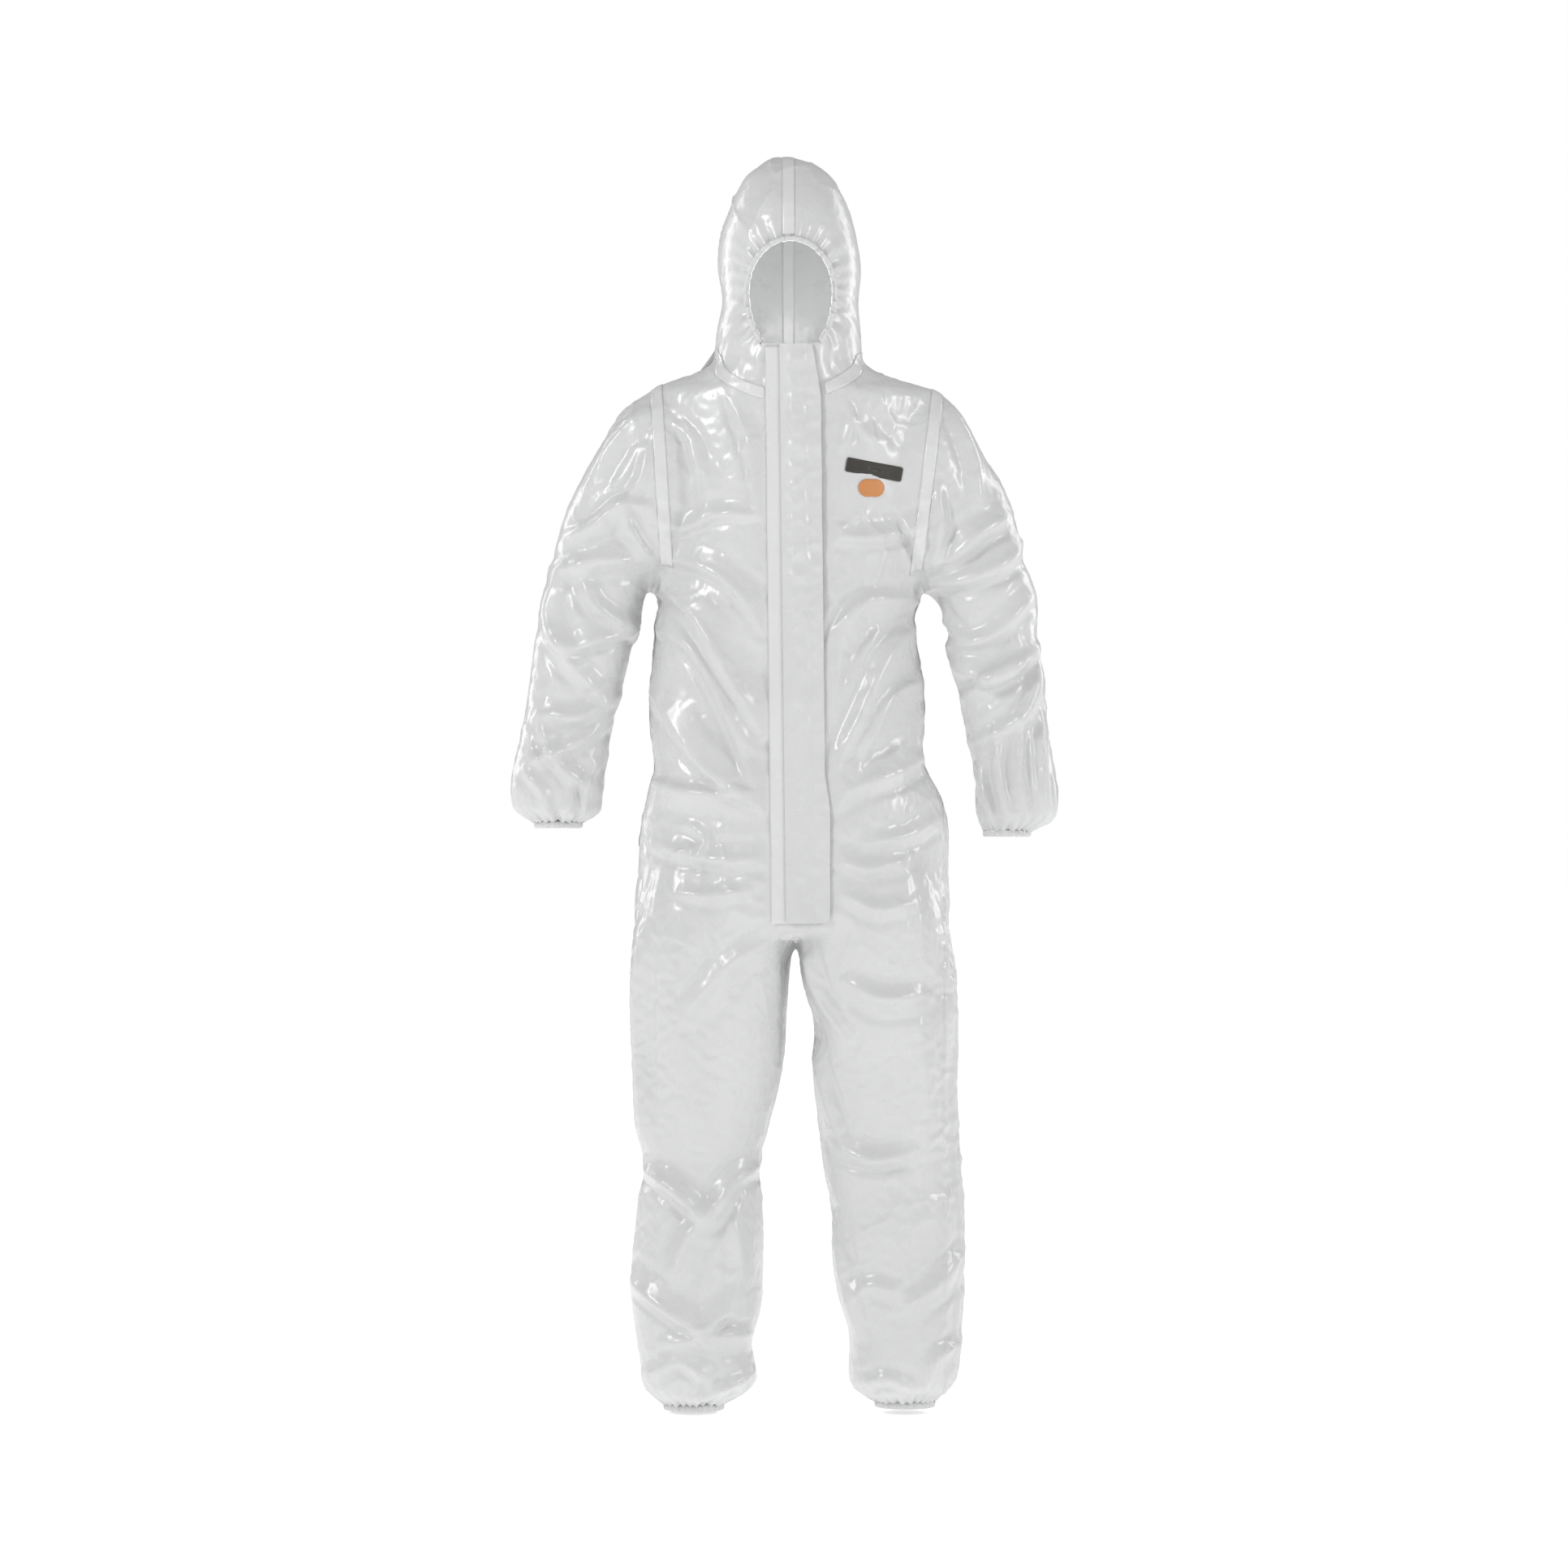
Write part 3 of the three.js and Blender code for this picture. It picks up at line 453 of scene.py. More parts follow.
# ---------------------------------------------------------------- folds
def to_polyline(points, path):
    """Distance from points to a polyline, the side they lie on, and how far along it, all in the plane."""
    path = np.array(path, float)
    starts, steps = path[:-1], np.diff(path, axis=0)
    lengths = np.linalg.norm(steps, axis=1)
    before = np.concatenate([[0], np.cumsum(lengths)])[:-1]
    best = np.full(len(points), 1e9)
    side = np.zeros(len(points))
    along = np.zeros(len(points))
    for start, step, length, run in zip(starts, steps, lengths, before):
        away = points - start
        t = np.clip((away @ step) / length**2, 0, 1)
        gap = away - t[:, None] * step
        distance = np.linalg.norm(gap, axis=1)
        nearer = distance < best
        best[nearer] = distance[nearer]
        side[nearer] = np.sign(step[0] * gap[nearer, 1] - step[1] * gap[nearer, 0])
        along[nearer] = (run + t * length)[nearer] / lengths.sum()
    return best, side, along


def smooth_path(path, count=14):
    """A polyline's corners rounded into a curve."""
    path = np.array(path, float)
    if len(path) == 2:
        return path
    run = np.concatenate([[0], np.cumsum(np.linalg.norm(np.diff(path, axis=0), axis=1))])
    slope = np.gradient(path, run, axis=0)
    at = np.linspace(0, run[-1], count)
    i = np.clip(np.searchsorted(run, at) - 1, 0, len(run) - 2)
    span = (run[i + 1] - run[i])[:, None]
    t = (at - run[i])[:, None] / span
    near = (2 * t**3 - 3 * t**2 + 1) * path[i] + (t**3 - 2 * t**2 + t) * span * slope[i]
    far = (3 * t**2 - 2 * t**3) * path[i + 1] + (t**3 - t**2) * span * slope[i + 1]
    return near + far


def imprint(mesh, folds, facing, gain):
    """Raises folds on the front (facing -1) or the back (+1). A crest is crisp, and its two flanks are as wide as the
    fold says, so that the stiff film lies in planes."""
    points = coordinates(mesh)
    normals = vertex_normals(mesh)
    flat = np.stack([points[:, 0] / MM, points[:, 2] / MM + SHOULDER_HEIGHT], axis=1)
    here = smoothstep(normals[:, 1] * facing, -0.2, 0.3)
    arm = limb_of(points) >= 3
    push = np.zeros(len(points))
    for path, left, right, height, on_arm in folds:
        distance, side, along = to_polyline(flat, smooth_path(path))
        t = np.sqrt((distance / np.where(side > 0, left, right)) ** 2 + CREST_ROUND**2)
        crest = np.clip(1 - t, 0, 1) ** 1.7
        trough = np.exp(-(((t - 1.15) / 0.35) ** 2)) * 0.22
        ends = np.sin(np.clip(along * 0.94 + 0.03, 0, 1) * math.pi) ** 0.55
        push += (crest - trough) * ends * height * here * (arm == bool(on_arm))
    set_coordinates(mesh, points + normals * (push * gain * MM)[:, None])


def limb_of(points):
    """0 trunk, 1 and 2 the right and left leg, 3 and 4 the right and left sleeve."""
    x = points[:, 0] / MM
    z = points[:, 2] / MM + SHOULDER_HEIGHT
    limb = np.zeros(len(points), int)
    leg = z < CROTCH + LEG_LINE_RISE * np.abs(x - CROTCH_X)
    limb[leg & (x < CROTCH_X)] = 1
    limb[leg & (x >= CROTCH_X)] = 2
    for side, mark, table in ((RIGHT, 3, RIGHT_ARM_SPLIT), (LEFT, 4, LEFT_ARM_SPLIT)):
        heights, edges = zip(*table)
        edge = np.interp(z, heights, edges)
        limb[(x * side > edge * side) & (z > 790) & (z < 1470)] = mark
    return limb


RIGHT_ARM_SPLIT = [
    (800, -247), (824, -244), (865, -237), (911, -230), (968, -227), (1028, -219), (1087, -209), (1118, -203),
    (1144, -199), (1167, -184), (1450, -201.4),
]
LEFT_ARM_SPLIT = [
    (800, 247), (834, 242), (865, 237), (905, 231), (957, 219), (1009, 213), (1049, 206), (1081, 201), (1118, 199),
    (1144, 198), (1167, 185), (1450, 219),
]

# Path of (x, height) along the crest, width of its left and right flank, height, 1 on a sleeve; in millimetres.
FRONT_FOLDS = [
    ([(-187, 1167), (-135, 1118), (-84, 1034), (-36, 957)], 34, 16, 9, 0),
    ([(-194, 1110), (-144, 1078), (-95, 999), (-52, 888)], 36, 14, 8, 0),
    ([(-181, 1204), (-123, 1190), (-79, 1160), (-40, 1106)], 26, 14, 6, 0),
    ([(-197, 1020), (-158, 957), (-109, 899), (-33, 859)], 40, 16, 9, 0),
    ([(-184, 1250), (-153, 1245), (-109, 1262), (-56, 1262)], 20, 12, 5, 0),
    ([(-144, 1354), (-118, 1308), (-125, 1250)], 22, 12, 4, 0),
    ([(-80, 1423), (-57, 1354), (-40, 1262)], 18, 14, 4, 0),
    ([(-171, 1400), (-144, 1371), (-130, 1319)], 16, 10, 4, 0),
    ([(-201, 891), (-144, 876), (-80, 871), (-29, 861)], 14, 30, 6, 0),
    ([(-187, 802), (-144, 788), (-86, 779), (-31, 783)], 22, 16, 6, 0),
    ([(-161, 735), (-109, 730), (-52, 742)], 18, 14, 5, 0),
    ([(-144, 830), (-121, 807), (-130, 781)], 12, 12, 4, 0),
    ([(49, 1236), (98, 1230), (187, 1248)], 22, 14, 6, 0),
    ([(169, 1147), (100, 1141), (63, 1089), (43, 1020), (22, 963)], 30, 16, 9, 0),
    ([(181, 1114), (144, 1078), (98, 986), (56, 894)], 34, 18, 9, 0),
    ([(185, 1032), (155, 1020), (118, 963), (89, 905)], 26, 16, 6, 0),
    ([(187, 928), (153, 905), (98, 884), (54, 861)], 20, 34, 8, 0),
    ([(86, 1400), (126, 1354), (167, 1308)], 20, 12, 4, 0),
    ([(98, 1308), (155, 1262), (190, 1193)], 22, 12, 5, 0),
    ([(75, 1423), (82, 1388), (72, 1354)], 12, 10, 3, 0),
    ([(59, 788), (100, 769), (158, 779)], 20, 16, 6, 0),
    ([(75, 733), (118, 712), (167, 719)], 18, 16, 5, 0),
    ([(201, 836), (158, 813), (112, 806)], 18, 16, 5, 0),
    ([(-15, 675), (-80, 641), (-144, 572)], 30, 18, 6, 0),
    ([(17, 673), (31, 606), (75, 531)], 16, 26, 6, 0),
    ([(84, 608), (126, 588), (176, 592)], 18, 26, 8, 0),
    ([(29, 514), (54, 434), (75, 374)], 14, 22, 6, 0),
    ([(70, 374), (114, 360), (162, 367)], 20, 16, 9, 0),
    ([(-213, 687), (-217, 549), (-210, 388)], 18, 20, 6, 0),
    ([(-148, 687), (-158, 549), (-148, 399)], 40, 40, 5, 0),
    ([(222, 675), (227, 549), (231, 411)], 18, 18, 5, 0),
    ([(178, 560), (187, 457), (185, 353)], 40, 40, 5, 0),
    ([(-206, 344), (-164, 316), (-118, 273)], 22, 16, 10, 0),
    ([(-47, 348), (-80, 330), (-105, 284)], 16, 22, 8, 0),
    ([(-98, 307), (-146, 250), (-169, 186)], 26, 20, 7, 0),
    ([(-222, 181), (-169, 144), (-130, 123), (-84, 151)], 30, 14, 9, 0),
    ([(-178, 98), (-118, 112), (-54, 112)], 16, 26, 7, 0),
    ([(-80, 273), (-72, 204), (-86, 151)], 26, 16, 5, 0),
    ([(-201, 54), (-155, 75), (-109, 43)], 20, 14, 6, 0),
    ([(-144, 17), (-98, 36), (-56, 54)], 14, 12, 6, 0),
    ([(61, 273), (75, 192), (95, 112)], 16, 30, 6, 0),
    ([(240, 227), (201, 181), (167, 158)], 24, 18, 6, 0),
    ([(86, 158), (107, 181), (144, 175)], 18, 16, 5, 0),
    ([(238, 100), (201, 77), (190, 43)], 18, 16, 5, 0),
    ([(98, 43), (132, 52), (178, 36)], 14, 14, 5, 0),
    ([(-201, 1417), (-247, 1371), (-291, 1296)], 22, 16, 7, 1),
    ([(-201, 1354), (-213, 1308), (-240, 1280)], 14, 14, 5, 1),
    ([(-199, 1275), (-238, 1279), (-276, 1250), (-316, 1234)], 24, 14, 8, 1),
    ([(-238, 1275), (-220, 1236), (-194, 1199)], 12, 20, 7, 1),
    ([(-213, 1202), (-270, 1199), (-328, 1188)], 22, 22, 8, 1),
    ([(-298, 1186), (-273, 1135), (-220, 1103)], 20, 16, 8, 1),
    ([(-220, 1101), (-268, 1089), (-316, 1078), (-335, 1089)], 12, 26, 7, 1),
    ([(-328, 1188), (-344, 1124), (-316, 1064), (-266, 1009)], 22, 18, 8, 1),
    ([(-245, 1011), (-298, 981), (-353, 986)], 18, 20, 8, 1),
    ([(-250, 986), (-309, 940), (-367, 917)], 16, 16, 6, 1),
    ([(-353, 972), (-328, 917), (-282, 876)], 18, 14, 7, 1),
    ([(-374, 905), (-348, 873), (-344, 843)], 12, 12, 6, 1),
    ([(-316, 894), (-309, 866), (-316, 838)], 10, 10, 5, 1),
    ([(-275, 917), (-289, 875), (-291, 841)], 10, 10, 5, 1),
    ([(224, 1423), (254, 1354), (266, 1285)], 20, 18, 6, 1),
    ([(204, 1301), (210, 1239), (197, 1193)], 14, 16, 7, 1),
    ([(305, 1262), (266, 1239), (227, 1204), (190, 1193)], 16, 24, 8, 1),
    ([(192, 1167), (247, 1174), (307, 1204), (330, 1239)], 26, 18, 9, 1),
    ([(190, 1160), (220, 1114), (238, 1094)], 12, 12, 7, 1),
    ([(220, 1082), (270, 1089), (339, 1151)], 20, 14, 7, 1),
    ([(227, 1052), (284, 1034), (348, 1082)], 24, 14, 9, 1),
    ([(240, 1006), (293, 1043), (330, 1064)], 12, 22, 8, 1),
    ([(346, 1078), (339, 1009), (305, 957)], 22, 14, 8, 1),
    ([(254, 940), (296, 963), (330, 986)], 16, 16, 6, 1),
    ([(293, 957), (291, 905), (305, 838)], 9, 12, 7, 1),
    ([(323, 974), (321, 917), (330, 848)], 8, 12, 7, 1),
    ([(351, 986), (355, 917), (360, 848)], 8, 10, 7, 1),
    ([(266, 911), (273, 871), (282, 834)], 10, 10, 6, 1),
]
BACK_FOLDS = [
    ([(-187, 1147), (-109, 1112), (-3, 1089)], 34, 16, 8, 0),
    ([(185, 1147), (109, 1110), (3, 1084)], 16, 34, 8, 0),
    ([(-194, 1066), (-121, 1020), (-17, 997)], 34, 16, 7, 0),
    ([(185, 1064), (121, 1020), (12, 995)], 16, 34, 7, 0),
    ([(-144, 1400), (-109, 1285), (-105, 1170)], 30, 18, 6, 0),
    ([(144, 1400), (107, 1285), (100, 1170)], 18, 30, 6, 0),
    ([(-52, 1400), (-34, 1308), (-40, 1204)], 24, 24, 4, 0),
    ([(-190, 957), (-109, 934), (-17, 945)], 18, 14, 5, 0),
    ([(185, 957), (109, 934), (17, 942)], 14, 18, 5, 0),
    ([(-201, 836), (-121, 802), (-20, 802)], 26, 20, 7, 0),
    ([(213, 836), (132, 799), (17, 802)], 20, 26, 7, 0),
    ([(-3, 779), (-52, 698), (-132, 635)], 26, 20, 9, 0),
    ([(13, 779), (63, 698), (144, 635)], 20, 26, 9, 0),
    ([(0, 848), (3, 779), (8, 698)], 16, 16, -5, 0),
    ([(-213, 618), (-144, 572), (-52, 583)], 30, 20, 6, 0),
    ([(227, 618), (155, 572), (52, 583)], 20, 30, 6, 0),
    ([(-150, 572), (-158, 480), (-144, 388)], 40, 40, 5, 0),
    ([(167, 572), (178, 480), (164, 388)], 40, 40, 5, 0),
    ([(-207, 405), (-132, 383), (-46, 399)], 22, 14, 8, 0),
    ([(-204, 353), (-130, 342), (-49, 355)], 16, 16, 10, 0),
    ([(-206, 298), (-132, 284), (-45, 302)], 16, 24, 8, 0),
    ([(49, 405), (132, 385), (233, 401)], 22, 14, 8, 0),
    ([(63, 353), (139, 342), (236, 355)], 16, 16, 10, 0),
    ([(66, 298), (144, 284), (240, 302)], 16, 24, 8, 0),
    ([(-213, 169), (-144, 135), (-57, 158)], 26, 18, 7, 0),
    ([(80, 158), (150, 132), (236, 169)], 26, 18, 7, 0),
    ([(-201, 66), (-138, 48), (-63, 68)], 18, 14, 7, 0),
    ([(93, 66), (155, 48), (227, 66)], 18, 14, 7, 0),
    ([(-201, 1262), (-247, 1239), (-309, 1250)], 22, 18, 7, 1),
    ([(-207, 1193), (-264, 1174), (-335, 1186)], 20, 20, 8, 1),
    ([(-220, 1101), (-282, 1078), (-353, 1089)], 20, 20, 8, 1),
    ([(-243, 1009), (-302, 981), (-369, 997)], 18, 18, 7, 1),
    ([(-259, 928), (-312, 894), (-376, 907)], 16, 16, 6, 1),
    ([(192, 1239), (247, 1225), (312, 1250)], 20, 20, 8, 1),
    ([(201, 1158), (259, 1147), (330, 1174)], 20, 20, 8, 1),
    ([(224, 1078), (284, 1064), (346, 1082)], 18, 18, 8, 1),
    ([(247, 986), (300, 972), (358, 990)], 18, 18, 7, 1),
    ([(259, 905), (312, 889), (367, 905)], 14, 14, 6, 1),
]


# ---------------------------------------------------------------- the crumple
def on_flat_front(points, reach=30):
    local = in_zip_frame(points)
    band = smoothstep(-np.abs(local[:, 0]), -reach - 12, -reach)
    return band * (np.abs(local[:, 1]) < 6) * smoothstep(local[:, 2], -25, -5) * (local[:, 2] < 830)


def crumple(skin):
    """A little spare cloth buckles into soft creases, held by weak springs to the outline of the filled suit."""
    points = coordinates(skin.data)
    rim = spread(skin.data, rim_vertices(skin.data), 1)
    hold = np.full(len(points), 0.25)
    height = points[:, 2] / MM + SHOULDER_HEIGHT
    for _, side in SIDES:
        (top_x, top_z), _ = ARMHOLE[side]
        shoulder = np.hypot(points[:, 0] / MM - top_x, height - top_z)
        hold = np.maximum(hold, 0.6 * smoothstep(-shoulder, -70, -20))
    hold = np.maximum(hold, 0.5 * smoothstep(height, 1480, 1560))
    hold = np.maximum(hold, on_flat_front(points))
    hold = np.maximum(hold, rim)
    group = skin.vertex_groups.new(name="hold")
    for index, weight in enumerate(hold):
        group.add([index], float(weight), "REPLACE")
    cloth = skin.modifiers.new("cloth", "CLOTH")
    settings = cloth.settings
    settings.quality = 4
    settings.mass = 0.15
    settings.air_damping = 2.0
    settings.tension_stiffness = 15
    settings.compression_stiffness = 15
    settings.shear_stiffness = 8
    settings.bending_stiffness = 0.9
    settings.tension_damping = 8
    settings.compression_damping = 8
    settings.shear_damping = 5
    settings.bending_damping = 1.0
    settings.vertex_group_mass = "hold"
    settings.pin_stiffness = 4.0
    settings.shrink_min = SPARE_CLOTH
    settings.shrink_max = SPARE_CLOTH
    settings.effector_weights.gravity = 0.05
    cloth.collision_settings.use_collision = False
    cloth.collision_settings.use_self_collision = False
    cloth.point_cache.frame_start = 1
    cloth.point_cache.frame_end = CLOTH_FRAMES
    for f in range(1, CLOTH_FRAMES + 1):
        bpy.context.scene.frame_set(f)
    apply_modifiers(skin)
    bpy.context.scene.frame_set(1)
    skin.vertex_groups.clear()
    # No point may wander far from the outline.
    moved = coordinates(skin.data) - points
    far = np.linalg.norm(moved, axis=1)
    print("crumple: mean", far.mean() / MM, "largest", far.max() / MM)
    cap = 16 * MM
    moved *= np.minimum(1, cap / np.maximum(far, 1e-9))[:, None]
    set_coordinates(skin.data, points + moved)


SPARE_CLOTH = -0.022
CREST_ROUND = 0.04
CLOTH_FRAMES = 30


def subdivide(obj):
    modifier = obj.modifiers.new("subdivision", "SUBSURF")
    modifier.levels = modifier.render_levels = 1
    apply_modifiers(obj)


SLOT = (14.4, 10, 802)  # half width of the zip's slot, and its lower and upper end, in the zip's frame
FLAP_REACH = 50


def settle_front(mesh):
    """Lays the centre front flat behind the zip and the flap."""
    points = coordinates(mesh)
    local = in_zip_frame(points)
    across, out, along = local.T
    tall = smoothstep(along, -40, -5) * (1 - smoothstep(along, 806, 830))
    near = np.abs(across) < 140
    limit = 0.2 + np.maximum(0, np.abs(across) - FLAP_REACH) * 0.35
    over = np.where(near & (tall > 0) & (out > limit) & (out < 60), (limit - out) * tall, 0)
    flat = np.where((np.abs(across) < FLAP_REACH) & (np.abs(out) < 40), 0.0 - out, 0) * tall
    ease = 1 - smoothstep(np.abs(across), 22, FLAP_REACH)
    shift = np.where(over < 0, over, flat * ease)
    set_coordinates(mesh, points + ZIP_OUT * (shift * MM)[:, None])


def away_from_badge(points):
    """0 under the badge, 1 away from it."""
    from_badge = np.hypot((points[:, 0] / MM - 114) / 52, (points[:, 2] / MM + SHOULDER_HEIGHT - 1316) / 36)
    return np.where(points[:, 1] < 0, smoothstep(from_badge, 1.0, 1.5), 1.0)


def facets(mesh):
    """A broken net of crisp, low ridges, as stiff film takes between its folds."""
    points = coordinates(mesh)
    normals = vertex_normals(mesh)
    push = np.zeros(len(points))
    arm = limb_of(points)
    for index, (x, y, z) in enumerate(points):
        where = Vector((x * 13 + z * 3, y * 9, z * 9 - x * 3))
        where += perlin.noise_vector(where * 0.6) * 0.5
        near, far = perlin.voronoi(where)[0][0:2]
        strength = max(0.0, perlin.noise(Vector((x * 5, y * 5 + 4, z * 5))) + 0.18)
        push[index] = math.exp(-(far - near) / 0.07) * strength * 5.5
    push *= np.where(arm >= 3, 1.05, np.where(arm > 0, 0.45, 0.85)) * away_from_badge(points)
    set_coordinates(mesh, points + normals * (push * MM)[:, None])


def gather(mesh):
    """Pleats that the elastic draws in round the face, the wrists and the ankles."""
    points = coordinates(mesh)
    normals = vertex_normals(mesh)
    x, y = points[:, 0] / MM, points[:, 1] / MM
    height = points[:, 2] / MM + SHOULDER_HEIGHT
    away, angle = face_distance(points, 3)
    waves = np.sin(angle * 31 + 1.6 * np.sin(angle * 5)) + 0.5 * np.sin(angle * 17 + 2)
    push = 2.4 * waves * np.exp(-np.maximum(away, 0) / 20) * (y < -40) * (height > CHIN)
    for number, (cx, cy, foot, radius) in enumerate(HEMS.values()):
        round_hem = np.arctan2(y - cy, x - cx)
        rise = height - foot - HEM_TALL
        near = (rise < 90) & (np.abs(x - cx) < 90)
        count = 21 if number < 2 else 25
        waves = np.sin(round_hem * count + 1.3 * np.sin(round_hem * 4 + cx)) + 0.4 * np.sin(round_hem * 9 + number)
        push += np.where(near, 2.2 * waves * np.exp(-np.maximum(rise, 0) / 22), 0)
    set_coordinates(mesh, points + normals * (push * MM)[:, None])


def cut_slot(obj):
    """Opens the centre front for the zip, with straight edges."""
    bm = bmesh.new()
    bm.from_mesh(obj.data)
    half, low, high = SLOT
    local = in_zip_frame(np.array([v.co for v in bm.verts]))
    inside = (np.abs(local[:, 0]) < half) & (np.abs(local[:, 1]) < 12) & (local[:, 2] > low)
    inside &= local[:, 2] < high + 60
    bm.verts.index_update()
    doomed = [f for f in bm.faces if any(inside[v.index] for v in f.verts)]
    bmesh.ops.delete(bm, geom=doomed, context="FACES")
    bmesh.ops.delete(bm, geom=[v for v in bm.verts if not v.link_faces], context="VERTS")
    for v in bm.verts:
        if v.is_boundary:
            across, out, along = in_zip_frame(np.array([v.co]))[0]
            if abs(across) < half + 14 and abs(out) < 12 and -4 < along < high + 8:
                along = max(along, low) if along < low + 8 else along
                if along > low + 0.1:
                    across = math.copysign(half, across)
                v.co = Vector(zip_point(across, out, along))
    bm.to_mesh(obj.data)
    bm.free()


garment = make_skin()
imprint(garment.data, FRONT_FOLDS, -1, 0.85)
imprint(garment.data, BACK_FOLDS, 1, 0.85)
relax(garment.data, np.ones(len(garment.data.vertices)), 1, 0.3)
crumple(garment)
subdivide(garment)
imprint(garment.data, FRONT_FOLDS, -1, 1.0)
imprint(garment.data, BACK_FOLDS, 1, 1.0)
facets(garment.data)
chest = 1 - away_from_badge(coordinates(garment.data))
relax(garment.data, chest, 80)
gather(garment.data)
settle_front(garment.data)
cut_slot(garment)
print("garment", len(garment.data.vertices), "vertices")


# ---------------------------------------------------------------- materials
def surface(name, color, roughness, **sockets):
    material = bpy.data.materials.new(name)
    material.use_nodes = True
    tree = material.node_tree
    shader = next(n for n in tree.nodes if n.type == "BSDF_PRINCIPLED")
    shader.inputs["Base Color"].default_value = (*color, 1)
    shader.inputs["Roughness"].default_value = roughness
    for socket, value in sockets.items():
        shader.inputs[socket.replace("_", " ")].default_value = value
    return material, tree, shader


def add_node(tree, kind, inputs=None, **values):
    node = tree.nodes.new(kind)
    for key, value in values.items():
        setattr(node, key, value)
    for key, value in (inputs or {}).items():
        node.inputs[key].default_value = value
    return node


def noise(tree, place, scale, detail=3, roughness=0.55, distortion=0.0):
    node = add_node(tree, "ShaderNodeTexNoise")
    node.inputs["Scale"].default_value = scale
    node.inputs["Detail"].default_value = detail
    node.inputs["Roughness"].default_value = roughness
    node.inputs["Distortion"].default_value = distortion
    tree.links.new(place, node.inputs["Vector"])
    return node.outputs["Fac"]


def ramp(tree, value, stops):
    node = add_node(tree, "ShaderNodeValToRGB")
    elements = node.color_ramp.elements
    while len(elements) < len(stops):
        elements.new(0.5)
    for element, (at, color) in zip(elements, stops):
        element.position = at
        element.color = (*color, 1) if len(color) == 3 else color
    tree.links.new(value, node.inputs["Fac"])
    return node.outputs["Color"]


def remap(tree, value, low, high, to_low, to_high):
    node = add_node(tree, "ShaderNodeMapRange")
    for socket, number in (("From Min", low), ("From Max", high), ("To Min", to_low), ("To Max", to_high)):
        node.inputs[socket].default_value = number
    tree.links.new(value, node.inputs["Value"])
    return node.outputs["Result"]


def bump(tree, height, distance, strength=1.0, below=None):
    node = add_node(tree, "ShaderNodeBump")
    node.inputs["Strength"].default_value = strength
    node.inputs["Distance"].default_value = distance
    tree.links.new(height, node.inputs["Height"])
    if below is not None:
        tree.links.new(below, node.inputs["Normal"])
    return node.outputs["Normal"]


def film_fabric(name, tone, rough, emboss):
    """White film over nonwoven: fine crinkle, a faint emboss, and uneven gloss."""
    material, tree, shader = surface(name, tone, rough, Coat_Weight=0.35, Coat_Roughness=0.16, Specular_IOR_Level=0.55)
    place = add_node(tree, "ShaderNodeTexCoord").outputs["Object"]
    cloud = noise(tree, place, 9, 4)
    shade = tuple(c * 0.955 for c in tone)
    color = ramp(tree, cloud, [(0.35, shade), (0.65, tone)])
    tree.links.new(color, shader.inputs["Base Color"])
    tree.links.new(remap(tree, noise(tree, place, 35, 5), 0.3, 0.7, rough - 0.07, rough + 0.09), shader.inputs["Roughness"])
    crease = add_node(tree, "ShaderNodeTexVoronoi", feature="DISTANCE_TO_EDGE")
    crease.inputs["Scale"].default_value = 26
    warp = add_node(tree, "ShaderNodeMixRGB", blend_type="LINEAR_LIGHT")
    warp.inputs["Fac"].default_value = 0.03
    tree.links.new(place, warp.inputs["Color1"])
    drift = add_node(tree, "ShaderNodeTexNoise")
    drift.inputs["Scale"].default_value = 14
    tree.links.new(place, drift.inputs["Vector"])
    tree.links.new(drift.outputs["Color"], warp.inputs["Color2"])
    tree.links.new(warp.outputs["Color"], crease.inputs["Vector"])
    facets = remap(tree, crease.outputs["Distance"], 0.0, 0.35, 0.0, 1.0)
    soft = bump(tree, noise(tree, place, 22, 2, 0.5), 0.002, 0.3)
    soft = bump(tree, facets, 0.0012, 0.3, soft)
    soft = bump(tree, noise(tree, place, 160, 3, 0.6), 0.0006, 0.25, soft)
    grain = add_node(tree, "ShaderNodeTexVoronoi")
    grain.inputs["Scale"].default_value = emboss
    tree.links.new(place, grain.inputs["Vector"])
    soft = bump(tree, grain.outputs["Distance"], 0.0001, 0.5, soft)
    tree.links.new(soft, shader.inputs["Normal"])
    return material


FABRIC = film_fabric("film_fabric", (0.715, 0.717, 0.72), 0.3, 900)
TAPE = film_fabric("seam_film", (0.785, 0.787, 0.79), 0.22, 1400)


# ---------------------------------------------------------------- pieces of the skin
PANELS = [  # name, CAD node, body
    ("hood_right", "hood_right_panel", "hood"),
    ("hood_left", "hood_left_panel", "hood"),
    ("neck_right", "hood_neck_right", "torso"),
    ("neck_left", "hood_neck_left", "torso"),
    ("front_right", "front_right_panel", "torso"),
    ("front_left", "front_left_panel", "torso"),
    ("back", "back_panel", "torso"),
    ("right_thigh_cloth", "right_thigh", "right_leg"),
    ("left_thigh_cloth", "left_thigh", "left_leg"),
    ("right_shin_cloth", "right_shin", "right_lower_leg"),
    ("left_shin_cloth", "left_shin", "left_lower_leg"),
    ("right_upper_sleeve_cloth", "right_upper_sleeve", "right_sleeve"),
    ("left_upper_sleeve_cloth", "left_upper_sleeve", "left_sleeve"),
    ("right_lower_sleeve_cloth", "right_lower_sleeve", "right_forearm"),
    ("left_lower_sleeve_cloth", "left_lower_sleeve", "left_forearm"),
]


